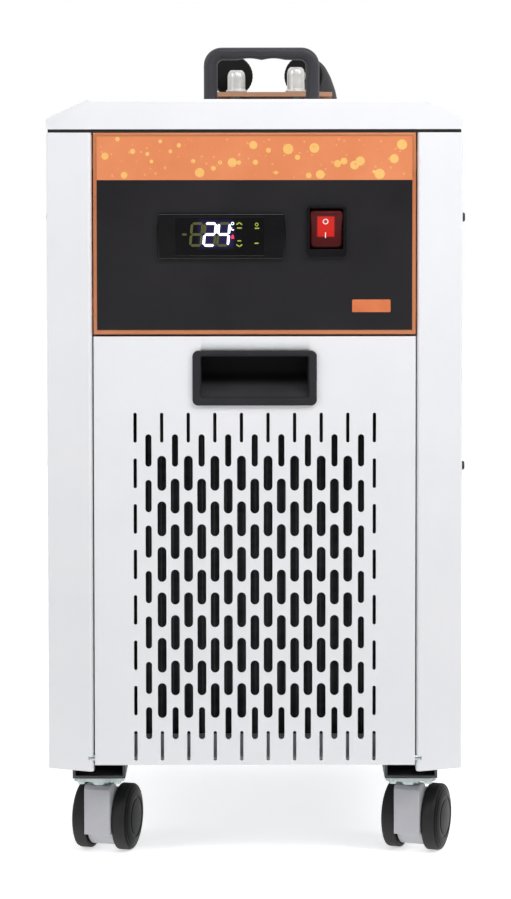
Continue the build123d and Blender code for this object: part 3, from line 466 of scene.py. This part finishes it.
def slot_tiles():
    """Rings from each tile's rectangle to its slot: eight points to a side of the rectangle, and as many to each
    straight and each round end of the slot. Ring 1 is the slot's edge, ring 2 lies 0.45 mm deeper and narrower."""
    x, z, width, length = slot_list().T[:, :, None]
    s = np.arange(8) / 8
    left, low = np.full(8, -1.0), 1 - 2 * s
    tile_x = np.concatenate([left, -low, -left, low]) * PITCH / 2
    tile_z = np.concatenate([-low, -left, low, left]) * ROW / 2
    turn = np.concatenate([np.full(8, pi), pi - s * pi, np.zeros(8), -s * pi])
    along = np.concatenate([-low, -left, low, left])

    def slot_ring(shrink):
        r = width / 2 - shrink
        straight = (length - width) / 2
        return x + r * np.cos(turn), z + straight * along + r * np.sin(turn)

    rings = [(x + tile_x + 0 * z, z + tile_z, FRONT), (*slot_ring(-0.25), FRONT), (*slot_ring(0), FRONT + 0.25),
             (*slot_ring(0), FRONT + 0.7)]
    grid = np.stack([np.stack([px, np.full_like(px, y), pz], -1) for px, pz, y in rings], 1)
    grid[:, 0, :, 2] = np.maximum(grid[:, 0, :, 2], DOOR_LOW + EDGE)
    count = len(grid)
    faces = quads(len(rings), 32, around=True)
    return grid.reshape(-1, 3), (faces[None] + np.arange(count)[:, None, None] * len(rings) * 32).reshape(-1, 4)


def flat_field(xs, zs, keep=None, y=FRONT):
    """A flat rectangle of quads on the lines xs and zs; keep says which cells stay."""
    gx, gz = np.meshgrid(xs, zs)
    points, faces = sheet_of(np.stack([gx, np.full_like(gx, y), gz], -1))
    return points, faces if keep is None else faces[keep(points[faces].mean(1))]


tiles = slot_tiles()
print("slots:", len(slot_list()), "quads:", len(tiles[1]))

# %% [markdown]
# Round the tiled field lie plain strips, whose lines meet the tiles' points, with a hole above the field for the
# pull. The outer edge turns back in a small curve, and the flange behind it shows when the door is tilted.

# %% Close the door's sheet and fold its edge
FIELD = COLUMNS * PITCH / 2
HOLE_HALF, HOLE_LOW, HOLE_HIGH, FLANGE_BACK = 41.25, 351.0, 385.0, -206.0
field_z = np.maximum(GRILLE_TOP + ROW / 2 - np.arange(65) * ROW / 8, DOOR_LOW + EDGE)
field_x = np.linspace(-FIELD, FIELD, COLUMNS * 8 + 1)
edge_x, top_z = DOOR_HALF - EDGE, DOOR_HIGH - EDGE
half_columns = [np.arange(9) * PITCH / 8 + (column - 9.5) * PITCH for column in range(1, COLUMNS, 2)]
high_part, low_part = field_z[:5], field_z[-5:]
strips = [flat_field([a, b], field_z) for a, b in ((-edge_x, -FIELD), (FIELD, edge_x))]
caps = [flat_field(xs, zs) for xs in half_columns for zs in (high_part, low_part)]
above = flat_field(np.concatenate([[-edge_x], field_x, [edge_x]]), np.array([field_z[0], HOLE_LOW, HOLE_HIGH, top_z]),
                   keep=lambda c: (np.abs(c[:, 0]) > HOLE_HALF) | (c[:, 2] < HOLE_LOW) | (c[:, 2] > HOLE_HIGH))


def folded_edge():
    """The flange: the sheet's outline carried along a profile that turns back. A corner moves out on both axes."""
    xs = np.concatenate([[-edge_x], field_x, [edge_x]])
    zs = np.concatenate([[top_z, HOLE_HIGH, HOLE_LOW], field_z])
    loop = np.concatenate([np.stack([xs, np.full_like(xs, top_z)], -1),
                           np.stack([np.full_like(zs, edge_x), zs], -1)[1:],
                           np.stack([xs[::-1], np.full_like(xs, field_z[-1])], -1)[1:],
                           np.stack([np.full_like(zs, -edge_x), zs[::-1]], -1)[1:-1]])
    out = np.stack([np.where(np.abs(loop[:, 0]) >= edge_x - 1e-6, np.sign(loop[:, 0]), 0),
                    np.where(loop[:, 1] >= top_z - 1e-6, 1, np.where(loop[:, 1] <= field_z[-1] + 1e-6, -1, 0))], -1)
    bend = np.linspace(0, pi / 2, 5)
    reach = np.concatenate([EDGE * np.sin(bend), [EDGE]])
    depth = np.concatenate([FRONT + EDGE * (1 - np.cos(bend)), [FLANGE_BACK]])
    xz = loop[None] + out[None] * reach[:, None, None]
    behind = np.broadcast_to(depth[:, None], xz.shape[:2])
    return sheet_of(np.stack([xz[..., 0], behind, xz[..., 1]], -1), around=True)


door_sheet = piece("grille_door", together(tiles, *strips, *caps, above, folded_edge()), powder_white, "door",
                   replaces=["door_panel"], outward=(0, -1, 0), sharp=40)
wall = door_sheet.modifiers.new("sheet_thickness", "SOLIDIFY")
SHEET = 1.5
wall.thickness, wall.offset, wall.use_even_offset = SHEET * MM, -1, False
print("door faces before thickness:", len(door_sheet.data.polygons))

# %% [markdown]
# ## The flush pull
# The pull is one moulding: a rounded rim that stands proud of the door and a cup behind it, whose floor slopes back
# to a deep hold under the upper edge. It is a stack of rings. Each ring is a rounded rectangle, and its depth
# may change with height, which gives the sloping floor.

# %% Mould the pull
def ring_xz(half_w, low, high, radius, points=96):
    """A rounded rectangle in x and z: points at equal angles of a square with arcs of the given radius as corners."""
    quarter = points // 4
    arc = np.linspace(0, pi / 2, quarter - 4)
    centre_x, centre_z = half_w - radius, (high - low) / 2 - radius
    x = np.concatenate([centre_x + radius * np.sin(arc), np.full(4, half_w)])
    z = np.concatenate([centre_z + radius * np.cos(arc), centre_z * (1 - np.arange(1, 5) / 4.0)])
    right_x, right_z = np.concatenate([x, x[::-1]]), np.concatenate([z, -z[::-1]])
    middle = (high + low) / 2
    return np.concatenate([right_x, -right_x[::-1]]), np.concatenate([right_z, right_z[::-1]]) + middle


def pull_cup():
    """Rings from the rim's foot over its crest and down the cup. The floor's depth rises from low to high z as a
    smooth step, and every inner ring takes the shallower of its wall's depth and that floor."""
    def floor_depth(z):
        t = np.clip((z - 353.0) / 17.0, 0, 1)
        return -221.6 + 17.0 * t * t * (3 - 2 * t)

    crest = [(46.7, 347.1, 388.4, 4.4, FRONT), (46.7, 347.1, 388.4, 4.4, -223.6),
             (46.35, 347.45, 388.05, 4.2, -224.5), (45.5, 348.3, 387.2, 3.9, -225.0),
             (42.2, 351.6, 385.3, 2.6, -224.9), (41.2, 352.6, 384.6, 2.0, -224.3), (40.6, 353.2, 384.1, 1.8, -223.0)]
    rings = [np.stack([*ring_xz(w, low, high, r)], 0) for w, low, high, r, _ in crest]
    rows = [np.stack([x, np.full_like(x, y), z], -1) for (x, z), (*_, y) in zip(rings, crest)]
    x, z = rings[-1]
    for inset, wall_depth in ((0.2, -219.0), (0.4, -212.0), (0.6, -205.0)):
        rows.append(np.stack([x * (1 - inset / 40), np.minimum(wall_depth, floor_depth(z)), z + 0 * x], -1))
    middle = 368.6
    for share in (0.8, 0.6, 0.4, 0.2, 0.0):
        zz = middle + (z - middle) * share
        rows.append(np.stack([x * (0.98 - 0.04 * (1 - share)), floor_depth(zz), zz], -1))
    return sheet_of(np.stack(rows), around=True)


# Its finish darkens deeper in the cup: painted shade in the hold under the upper edge.
pull = piece("flush_pull", pull_cup(), pull_grey_painted_shade, "door", replaces=["door_pull"],
             outward=(0, -1, 0), sharp=50)
wall = pull.modifiers.new("moulding_thickness", "SOLIDIFY")
wall.thickness, wall.offset = 1.2 * MM, -1
print("pull faces:", len(pull.data.polygons))

# %% [markdown]
# ## The bow handle
# A moulded handle is thickest along its outer edge and steps down to a thin flange on the inside, which is the light
# line in the photograph. Its outline is two curves, outer and inner, with as many points each. A section runs from
# one to the other, so the handle is one grid: along the bow, and round the section. Under the bar the inner
# curve rises twice for the fingers.

# %% Sweep the handle
LID_TOP = 577.0


def bow_line(half, height, radius, low, lift=0.0, legs=6, corner=9, top=33):
    """A bow in x and z: up the left leg, round a corner, across and down. lift raises the bar in two soft hollows."""
    turn = np.linspace(0, pi / 2, corner)
    leg = np.linspace(low, height - radius, legs)
    bar_x = np.linspace(-(half - radius), half - radius, top)
    hollow = sum(np.clip(1 - ((bar_x - at) / 9.4) ** 2, 0, 1) ** 1.2 for at in (-9.5, 9.5))
    left_x = np.concatenate([np.full(legs, -half), -half + radius - radius * np.cos(turn)])
    left_z = np.concatenate([leg, height - radius + radius * np.sin(turn)])
    return np.stack([np.concatenate([left_x, bar_x, -left_x[::-1]]),
                     np.concatenate([left_z, height + lift * hollow, left_z[::-1]])], -1)


HANDLE_X, HANDLE_Y = 5.6, -102.0


def bow_handle():
    """Section points (share across, depth): share 0 is the outer curve, 1 the inner one; depth is in millimetres."""
    foot, top = LID_TOP, 618.7
    outer = bow_line(45.5, top, 14.0, foot)
    inner = bow_line(34.9, top - 9.6, 4.5, foot, lift=1.3)
    front = [(0.0, 5.6), (0.02, 7.4), (0.07, 9.0), (0.16, 10.2), (0.3, 10.9), (0.45, 11.0), (0.6, 10.5), (0.7, 9.6),
             (0.76, 8.4), (0.8, 7.7), (0.86, 7.5), (0.94, 7.5), (0.985, 7.2), (1.0, 6.6)]
    section = np.array([(s, -d) for s, d in front] + [(s, d) for s, d in reversed(front)])
    share, depth = section.T
    xz = outer[:, None] * (1 - share[None, :, None]) + inner[:, None] * share[None, :, None]
    grid = np.stack([HANDLE_X + xz[..., 0], np.broadcast_to(HANDLE_Y + depth, xz.shape[:2]), xz[..., 1]], -1)
    ends = [sheet_of(np.stack([grid[row, :14], grid[row, 27:13:-1]])) for row in (0, -1)]
    return together(sheet_of(grid, around=True), *ends)


piece("bow_handle", bow_handle(), handle_grey, "cabinet", replaces=["top_handle"], sharp=45)
print("handle swept")

# %% [markdown]
# ## Valves, knobs and the filler cap
# These are turned parts. A profile of radius against height is drawn first, its corners are eased, and it is carried
# round the axis. The ports get a fine thread, which is only a wave in the bore's profile at this size.

# %% Turn the valves, knobs and cap
VALVE_Y, KNOB_Z, BRACKET_TOP = 110.0, 600.6, 586.5
VALVES = {"supply": (35.7, 608.0, 20.0), "return": (-15.7, 605.4, -9.0)}


def valve_body(x, top, turn):
    """A shank with a collar and a domed head with a bore, and a bonnet towards the knob."""
    bore = np.linspace(top - 1.0, top - 9.5, 25)
    thread = np.stack([4.28 + 0.22 * np.abs((np.arange(25) % 4) / 2 - 1), bore], -1)
    head = eased([(5.0, 560), (5.0, BRACKET_TOP), (9.0, BRACKET_TOP), (9.0, BRACKET_TOP + 1.4),
                  (7.6, BRACKET_TOP + 2.2), (7.6, top - 5.6), (6.9, top - 2.2), (5.2, top - 0.3), (4.6, top),
                  (4.4, top - 1.0)], 0.9)
    shape = np.concatenate([[(0, 560)], head, thread, [(0, top - 10)]])
    way = np.array((sin(radians(turn)), cos(radians(turn)), 0))
    bonnet = eased([(0, 7.0), (4.4, 7.0), (4.4, 15.2), (3.6, 16.0), (3.05, 16.0), (3.05, 10.0), (0, 10.0)], 0.3)
    return together(turned(shape, (x, VALVE_Y, 0), sides=56),
                    turned(bonnet, (x, VALVE_Y, KNOB_Z), axis=way, sides=32))


def knob_disc(x, turn):
    """A hand knob: rounded rim with a fine grip, a plain inner face, a dished outer face and its stem."""
    way = np.array((sin(radians(turn)), cos(radians(turn)), 0))
    profile = eased([(0, -13.8), (3.0, -13.8), (3.0, -6.0), (16.4, -6.0), (17.6, -4.8), (17.6, 4.0), (15.4, 6.0),
                     (13.6, 6.0), (11.5, 4.9), (0, 4.6)], 0.7)

    def grip(angle, radius):
        return 1 - 0.012 * (radius > 17.0) * (0.5 + 0.5 * np.cos(36 * angle)) ** 2

    return turned(profile, np.array((x, VALVE_Y, KNOB_Z)) + 24 * way, axis=way, sides=144, flutes=grip)


for name, (x, top, turn) in VALVES.items():
    piece(f"{name}_valve_body", valve_body(x, top, turn), nickel, "cabinet", replaces=[f"{name}_valve"])
    piece(f"{name}_hand_knob", knob_disc(x, turn), knob_black, f"{name}_knob",
          replaces=[f"{name}_knob"])

FILLER = (51, 166, 0)
CAP = [(0, 615.9), (6.0, 614.6), (11.0, 610.0), (16.0, 600.8), (20.4, 588.5), (22.5, 577.6), (22.1, 577.3)]
cap_shape = np.concatenate([eased(CAP, 3.6, steps=6), [(15.4, 577.3), (15.4, 585.4), (0, 585.4)]])
piece("filler_cap_dome", turned(cap_shape, FILLER, sides=72), cap_grey, "filler_cap",
      replaces=["filler_cap"])
print("turned parts made")

# %% [markdown]
# ## Twin-wheel castors
# Each castor is a plate with a race cup, a hood between two wheels and an axle. The wheels are turned like the
# knobs: a broad tread with a fine groove, a sloping shoulder and a closed face with a shallow ring. A castor stands
# at its own angle, so a wheel's axis is the hood's X axis turned by that angle.

# %% Turn the wheels
WHEEL_R, TRAIL, WHEEL_INNER = 25.5, 18.5, 10.6
SWIVELS = {"front_left": (-118.5, -195.0, 15.0), "front_right": (118.5, -195.0, 19.5),
           "rear_left": (-118.5, 160.0, 28.0), "rear_right": (118.5, 160.0, -34.0)}
WHEEL_SHAPE = eased([(0, 9.0), (2.55, 9.0), (2.55, 0.1), (17.0, 0.1), (17.6, 1.2), (22.4, 1.2), (23.0, 0.1),
                     (24.9, 0.1), (25.4, 0.9), (25.4, 8.7), (24.6, 10.2), (22.2, 11.2), (21.8, 10.9), (21.2, 11.5),
                     (15.8, 12.6), (15.2, 12.1), (13.4, 12.1), (12.8, 12.6), (0, 12.7)], 0.35, steps=2)
# The wheels' flat discs take a darker copy of the rubber: painted shade.
wheel_disc_painted_shade = make_finish("castor_disc_painted_shade", (13, 12, 13), (8, 8, 9), (0.3, 0.4), clouds=60, shine=0.05, relief=0.1)


def darken_discs(tyre, axle):
    """Faces that look along the axle take wheel_disc_painted_shade: smoother than the tread, and darker as painted
    shade on the discs.
    """
    tyre.data.materials.append(wheel_disc_painted_shade)
    normals = np.empty(3 * len(tyre.data.polygons))
    tyre.data.polygons.foreach_get("normal", normals)
    facing = np.abs(normals.reshape(-1, 3) @ np.asarray(axle)) > 0.75
    tyre.data.polygons.foreach_set("material_index", facing.astype(np.int32))


for name, (x, y, angle) in SWIVELS.items():
    turn = radians(-angle)
    across, behind = np.array((cos(turn), sin(turn), 0)), np.array((-sin(turn), cos(turn), 0))
    hub = np.array((x, y, WHEEL_R)) + TRAIL * behind
    for side, sign in (("inner", 1), ("outer", -1)):
        way = across * sign * (1 if "left" in name else -1)
        shape = turned(WHEEL_SHAPE, hub + WHEEL_INNER * way, axis=way, sides=64)
        tyre = piece(f"tyre_{name}_{side}", shape, tread_rubber, f"wheel_{name}_{side}",
                     replaces=[f"wheel_{name}_{side}"])
        darken_discs(tyre, way)
print("wheels:", 2 * len(SWIVELS))

# %% [markdown]
# ## Softened edges
# No moulded or folded edge is knife-sharp: it catches a thin line of light. A CAD node's mesh is loose triangles, so
# a copy is merged, its flat faces are joined again, and a Bevel modifier rounds the edges that turn by more than
# thirty degrees. The copy then stands for the node.

# %% Copy and bevel the flat-sided parts
def softened(node, finish, width, segments=2, angle=30):
    """A merged copy of a CAD node with rounded edges of the given width in millimetres."""
    source = frame["nodes"][node]
    mesh = source.data.copy()
    work = bmesh.new()
    work.from_mesh(mesh)
    bmesh.ops.remove_doubles(work, verts=work.verts, dist=2e-6)
    bmesh.ops.dissolve_limit(work, angle_limit=radians(1.5), verts=work.verts, edges=work.edges)
    work.to_mesh(mesh)
    work.free()
    for layer in [a.name for a in mesh.attributes if a.name == "custom_normal"]:
        mesh.attributes.remove(mesh.attributes[layer])
    mesh.shade_smooth()
    mesh.set_sharp_from_angle(angle=radians(35))
    mesh.materials.clear()
    mesh.materials.append(finish)
    made = bpy.data.objects.new(f"{node}_soft", mesh)
    scene.collection.objects.link(made)
    edge = made.modifiers.new("edge", "BEVEL")
    edge.width, edge.segments, edge.limit_method, edge.angle_limit = width * MM, segments, "ANGLE", radians(angle)
    edge.use_clamp_overlap = True
    edge.harden_normals = True
    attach(made, source["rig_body"])
    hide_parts(node)
    return made


softened("top_cover", powder_white, 0.5)
softened("fascia", console_orange, 0.35)
softened("connection_bracket", bracket_paint, 0.35)
softened("controller", bezel_black, 0.5)
softened("switch_bezel", bezel_black, 0.4)
for castor in CASTORS:
    softened(f"castor_hood_{castor}", hood_grey, 0.9, segments=3)
print("softened copies made")

# %% [markdown]
# ## The orange band
# The band is a print with pale drops of many sizes. Here the drops are plain discs scattered by a seeded random
# generator: few large ones, many small ones. A disc is a fan of sides on a circle, and all discs are computed
# together. Each lies a hair in front of the one before, so where two overlap, one of them wins.

# %% Print the drops
BAND_Y, BAND_LOW, BAND_HIGH, BAND_HALF = -222.5, 516.5, 549.2, 118.2
band_orange = make_finish("band_orange_print", (229, 140, 92), (222, 132, 84), (0.4, 0.5), clouds=30, relief=0.04)
drop_yellow = make_finish("drop_pale_yellow", (241, 196, 118), (240, 182, 98), (0.4, 0.5), clouds=18, relief=0.04)
drop_faint = make_finish("drop_faint_orange", (238, 166, 112), (234, 154, 98), (0.4, 0.5), clouds=40, relief=0.04)
dress(band_orange, "band_print")


def discs(x, z, radius, y, sides=20):
    """Flat discs: each a centre and a rim of points at radius (cos a, sin a), joined by triangles."""
    angle = np.linspace(0, 2 * pi, sides, endpoint=False)
    ring = np.stack([np.cos(angle), 0 * angle, np.sin(angle)], -1)
    centre = np.stack([x, y, z], -1)[:, None]
    points = np.concatenate([centre, centre + radius[:, None, None] * ring], 1)
    rim = np.arange(sides)
    fan = np.stack([0 * rim, 1 + rim, 1 + (rim + 1) % sides], -1)
    faces = fan[None] + np.arange(len(x))[:, None, None] * (sides + 1)
    return points.reshape(-1, 3), faces.reshape(-1, 3)


chance = np.random.default_rng(21)
large_r = np.concatenate([chance.uniform(2.4, 3.9, 15), chance.uniform(1.2, 2.2, 17)])
small_r = chance.uniform(0.35, 1.0, 80)
for name, radius, finish, lift in (("band_drops_large", large_r, drop_yellow, 0.03),
                                   ("band_drops_small", small_r, drop_faint, 0.06)):
    room_x, room_z = BAND_HALF - 1 - radius, (BAND_HIGH - BAND_LOW) / 2 - 0.4 - radius
    slots_x = (np.arange(len(radius)) + 0.5) / len(radius) * 2 - 1
    x = np.clip(chance.permutation(slots_x) * room_x + chance.normal(0, 2.0, len(radius)), -room_x, room_x)
    z = (BAND_LOW + BAND_HIGH) / 2 + chance.uniform(-1, 1, len(radius)) * room_z
    depths = BAND_Y - lift - 0.0004 * np.arange(len(x))
    drops = piece(name, discs(x, z, radius, depths), finish, "cabinet", outward=(0, -1, 0))
    print(name, len(radius))
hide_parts("band_dots")

# %% [markdown]
# ## The temperature display
# The window holds seven-segment figures. Unlit segments still show as dull olive bars behind the glass, held up by a
# faint painted glow; lit ones glow white with a touch of blue. A segment is a bar with pointed ends, a figure is
# seven of them, and the whole display leans a little to the right, as such figures do.

# %% Draw the segments
GLASS_Y = -225.0


def flat_shapes(outlines, y):
    """Filled flat outlines in x and z, one polygon each, as (points, list of faces)."""
    points = np.concatenate([np.asarray(o, float) for o in outlines])
    starts = np.cumsum([0] + [len(o) for o in outlines])
    faces = [list(range(a, b)) for a, b in zip(starts[:-1], starts[1:])]
    return np.stack([points[:, 0], np.full(len(points), y), points[:, 1]], -1), faces


def flat_piece(name, outlines, y, finish, body):
    """Outlines as one thin piece that faces the front."""
    points, faces = flat_shapes(outlines, y)
    mesh = bpy.data.meshes.new(name)
    mesh.from_pydata((points * MM).tolist(), [], faces)
    work = bmesh.new()
    work.from_mesh(mesh)
    bmesh.ops.reverse_faces(work, faces=[f for f in work.faces if f.normal.y > 0])
    work.to_mesh(mesh)
    work.free()
    mesh.materials.append(finish)
    made = bpy.data.objects.new(name, mesh)
    scene.collection.objects.link(made)
    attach(made, body)
    return made


def bar(start, end, width):
    """A bar with pointed ends between two points."""
    a, b = np.array(start, float), np.array(end, float)
    along = (b - a) / np.linalg.norm(b - a)
    side = np.array([-along[1], along[0]]) * width / 2
    h = along * width / 2
    return np.array([a, a + h + side, b - h + side, b, b - h - side, a + h - side])


def figure(x, z, lit, width=8.0, height=16.4, stroke=1.9, gap=0.25, lean=0.09):
    """The lit bars of one seven-segment figure; a is the top bar, b to f go round clockwise, g is the middle."""
    w, h = width, height
    ends = {"a": ((0, h), (w, h)), "b": ((w, h), (w, h / 2)), "c": ((w, h / 2), (w, 0)), "d": ((0, 0), (w, 0)),
            "e": ((0, 0), (0, h / 2)), "f": ((0, h / 2), (0, h)), "g": ((0, h / 2), (w, h / 2))}
    bars = []
    for key in lit:
        a, b = (np.array(p, float) for p in ends[key])
        along = (b - a) / np.linalg.norm(b - a)
        shape = bar(a + along * gap, b - along * gap, stroke)
        bars.append(shape + [x, z] + np.stack([shape[:, 1] * lean, 0 * shape[:, 1]], -1))
    return bars


def glow(name, base, light, strength, roughness=0.3):
    """A mark that clouds a little and gives off light: lamp light when lit, painted light on unlit segments and keys.
    """
    material = make_finish(name, base, tuple(0.9 * c for c in base), (roughness, roughness + 0.1), relief=0.0)
    shader = material.node_tree.nodes["Principled BSDF"]
    shader.inputs["Emission Color"].default_value = colour(*light)
    shader.inputs["Emission Strength"].default_value = strength
    return material


digit_white = glow("digit_lit_white", (235, 238, 255), (232, 236, 255), 1.3)
# Unlit segments are no lamps: their faint glow is painted light that keeps them showing through the dark glass.
digit_olive_painted_glow = glow("digit_unlit_olive_painted_glow", (74, 74, 34), (74, 74, 34), 0.35)
# The printed keys are no lamps: their glow is painted light.
key_olive_painted_glow = glow("key_print_olive_painted_glow", (150, 158, 58), (150, 158, 58), 0.5)
mark_red = glow("mark_lit_red", (230, 40, 80), (235, 40, 90), 1.0)
DIGIT_Z = 467.6
olive = figure(-48.2, DIGIT_Z, "abcdefg") + figure(-38.2, DIGIT_Z, "fc") + figure(-28.0, DIGIT_Z, "ade")
olive += [bar((-54.6, 475.8), (-50.4, 475.8), 1.5), bar((-29.6, 467.4), (-28.4, 467.4), 1.2)]
flat_piece("digits_unlit", olive, GLASS_Y + 0.06, digit_olive_painted_glow, "cabinet")
lit = figure(-38.2, DIGIT_Z, "abged") + figure(-28.0, DIGIT_Z, "fgbc")
digits = flat_piece("digits_lit", lit, GLASS_Y, digit_white, "cabinet")
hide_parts("display_digits")
print("segments:", len(lit) + len(olive))

# %% [markdown]
# Beside the figures stand a degree mark, a red running mark and the printed keys: two chevrons and two small signs.
# The keys are printed on the window and don't travel, so they have no joints. Their print glows faintly: painted
# light.

# %% Print the keys
def ring_bars(x, z, radius, width, sides=14):
    """A ring as short trapezoids between an inner and an outer circle."""
    angle = np.linspace(0, 2 * pi, sides + 1)
    inner, outer = ((radius + s * width / 2) * np.stack([np.cos(angle), np.sin(angle)], -1) + [x, z] for s in (-1, 1))
    return [np.array([inner[i], outer[i], outer[i + 1], inner[i + 1]]) for i in range(sides)]


def chevron(x, z, half, rise, width):
    """Two bars that meet in a point above or below their outer ends."""
    return [bar((x + sign * half, z), (x - sign * 0.25 * width, z + rise), width) for sign in (-1, 1)]


white_marks = ring_bars(-16.4, 484.0, 0.9, 0.5) + [bar((-17.4, 479.2), (-15.2, 479.2), 0.8),
                                                   bar((-17.2, 479.0), (-17.2, 481.2), 0.6)]
flat_piece("degree_mark", white_marks, GLASS_Y, digit_white, "cabinet")
drop_mark = np.array([(-17.6, 472.6), (-15.2, 472.6), (-15.6, 475.0), (-16.4, 475.8), (-17.2, 475.0)])
flat_piece("running_mark", [drop_mark], GLASS_Y, mark_red, "cabinet")
keys = chevron(-11.4, 483.0, 2.3, 1.9, 0.9) + chevron(-11.4, 468.4, 2.3, -1.9, 0.9)
keys += [bar((-13.3, 480.6), (-9.4, 480.6), 1.0), bar((-13.0, 471.0), (-9.8, 471.0), 0.9)]
keys += ring_bars(1.6, 483.2, 1.1, 0.6)
keys += [bar((0.0, 480.4), (3.6, 480.4), 0.9), bar((-0.2, 469.2), (3.2, 469.2), 1.0)]
flat_piece("key_prints", keys, GLASS_Y, key_olive_painted_glow, "cabinet")
print("keys printed")

# %% [markdown]
# ## The lit switch
# The rocker is clear red plastic over a lamp, dark at its edges and bright over the lamp. The glow has a soft-edged
# box for its shape: the finish measures how far a point lies from the lamp's middle in x and z, and the emission
# fades out past the lamp's edge. The same helper gives the display's window its faint blue haze. The marks for
# off and on are a ring and a bar, which lie on the rocker's two slopes and tilt with it.

# %% Light the rocker
PIVOT_Y, PIVOT_Z, SWITCH_X = -219.0, 480.0, 53.9


def dish(z):
    """The rocker's face in its own upright frame: two slopes that meet in a soft valley."""
    return -3.3 - 1.8 * np.sqrt(z ** 2 + 2.0) / 14


def tilted(x, y, z, lean=12.0):
    """Leans the rocker's own frame about its pivot: y' = y cos - z sin and z' = y sin + z cos."""
    c, s = cos(radians(lean)), sin(radians(lean))
    return np.stack([SWITCH_X + x, PIVOT_Y + y * c - z * s, PIVOT_Z + y * s + z * c], -1)


def rocker_lens():
    """Rounded rectangles from the back over the rounded edge to the face, then inwards along the dish; two pins."""
    x, z = ring_xz(12.3, -14.2, 14.2, 2.6)
    back = 4.4 + 0 * x
    rows = [tilted(0 * x, back, 0 * z), tilted(x, back, z)]
    for half_w, half_h, radius, behind in ((12.3, 14.2, 2.6, 2.6), (12.3, 14.2, 3.4, 1.5), (12.0, 13.9, 3.5, 0.6),
                                           (11.3, 13.3, 3.4, 0.1), (10.3, 12.5, 3.2, 0.0)):
        x, z = ring_xz(half_w, -half_h, half_h, radius)
        rows.append(tilted(x, dish(z) + behind, z))
    for share in (0.85, 0.7, 0.55, 0.4, 0.25, 0.12, 0.0):
        rows.append(tilted(x * share, dish(z * share), z * share))
    pins = [turned([(0, 12.0), (1.5, 12.0), (1.5, 13.7), (0, 13.7)], (SWITCH_X, PIVOT_Y, PIVOT_Z), axis=(side, 0, 0),
                   sides=24) for side in (-1, 1)]
    return together(sheet_of(np.stack(rows), around=True), *pins)


red_lens = make_finish("lens_clear_red", (84, 18, 20), (70, 12, 14), (0.12, 0.18), relief=0.0, shine=0.15)
lit_within(red_lens, (1.0, 0.022, 0.008, 1), 0.6, (SWITCH_X - 0.5, 481.6), (5.6, 6.9), 1.5)
piece("rocker_lens", rocker_lens(), red_lens, "rocker", replaces=["rocker"], sharp=50)

window_dark = make_finish("window_dark_glass", (14, 14, 16), (10, 10, 12), (0.1, 0.18), relief=0.0, shine=0.35)
lit_within(window_dark, (0.25, 0.18, 1.0, 1), 0.06, (-28.8, 476.0), (10.5, 7.6), 5.0)
dress(window_dark, "controller_window")

mark_white = make_finish("rocker_mark_white", (250, 246, 244), (238, 232, 230), (0.4, 0.5), relief=0.0)
bar_mark = np.array([(-0.35, -6.2), (0.35, -6.2), (0.35, -2.0), (-0.35, -2.0)])
marks = np.concatenate(ring_bars(0, 6.4, 1.8, 0.8, sides=18) + [bar_mark])
mark_points = tilted(marks[:, 0] - 0.7, dish(marks[:, 1]) - 0.12, marks[:, 1])
piece("rocker_marks", (mark_points, np.arange(len(marks)).reshape(-1, 4)), mark_white, "rocker",
      outward=(0, -1, 0))
print("rocker lit")

# %% [markdown]
# ## A plain badge
# A small orange plate sits in the film's lower right corner. It is a rounded rectangle and stays plain.

# %% Set the badge
BADGE_X, BADGE_Z, BADGE_FACE = 87.6, 422.05, FRONT - 0.52
badge_orange = make_finish("badge_orange_print", (222, 124, 76), (212, 114, 68), (0.35, 0.45), clouds=60, relief=0.04)


def badge():
    """Two rings of a rounded rectangle, the front one smaller, closed by a flat middle."""
    rings = [ring_xz(14.4, 417.3, 426.8, 0.9), ring_xz(14.3, 417.4, 426.7, 0.8), ring_xz(12.0, 421.3, 422.8, 0.3)]
    depths = (FRONT - 0.42, BADGE_FACE, BADGE_FACE)
    rows = [np.stack([x + BADGE_X, np.full_like(x, y), z], -1) for (x, z), y in zip(rings, depths)]
    x, z = rings[2]
    rows.append(np.stack([x + BADGE_X, np.full_like(x, BADGE_FACE), 0 * z + BADGE_Z], -1))
    return sheet_of(np.stack(rows), around=True)


piece("plain_badge", badge(), badge_orange, "cabinet", outward=(0, -1, 0))
print("badge set")

# %% [markdown]
# ## The floor
# The floor is pale and plain, and it isn't part of the chiller. It glows a little, as a studio's lit paper does.
# Under the chiller it glows more: painted light that keeps the shade between the castors faint. It also glows more
# behind the chiller, where the paper runs into the white backdrop without an edge.

# %% Lay the floor
floor_mesh = bpy.data.meshes.new("studio_floor")
floor_mesh.from_pydata([(-6, -6, 0), (6, -6, 0), (6, 6, 0), (-6, 6, 0)], [], [(0, 1, 2, 3)])
studio_floor = bpy.data.objects.new("studio_floor", floor_mesh)
scene.collection.objects.link(studio_floor)
floor_white = make_finish("floor_pale", (252, 252, 252), (250, 250, 250), (0.8, 0.9), relief=0.0)
behind_box = soft_box(floor_white, (0, 6220), (9000, 5900), 280, axes="XY")
behind_glow = scaled(floor_white.node_tree, behind_box, 0.4, 0.07)
# Under the chiller the floor glows more: painted light that keeps the shade between the castors faint.
lit_within(floor_white, (1, 1, 1, 1), 0.5, (0, -10), (170, 215), 170, axes="XY", extra=behind_glow)
floor_mesh.materials.append(floor_white)
print("floor at height 0")
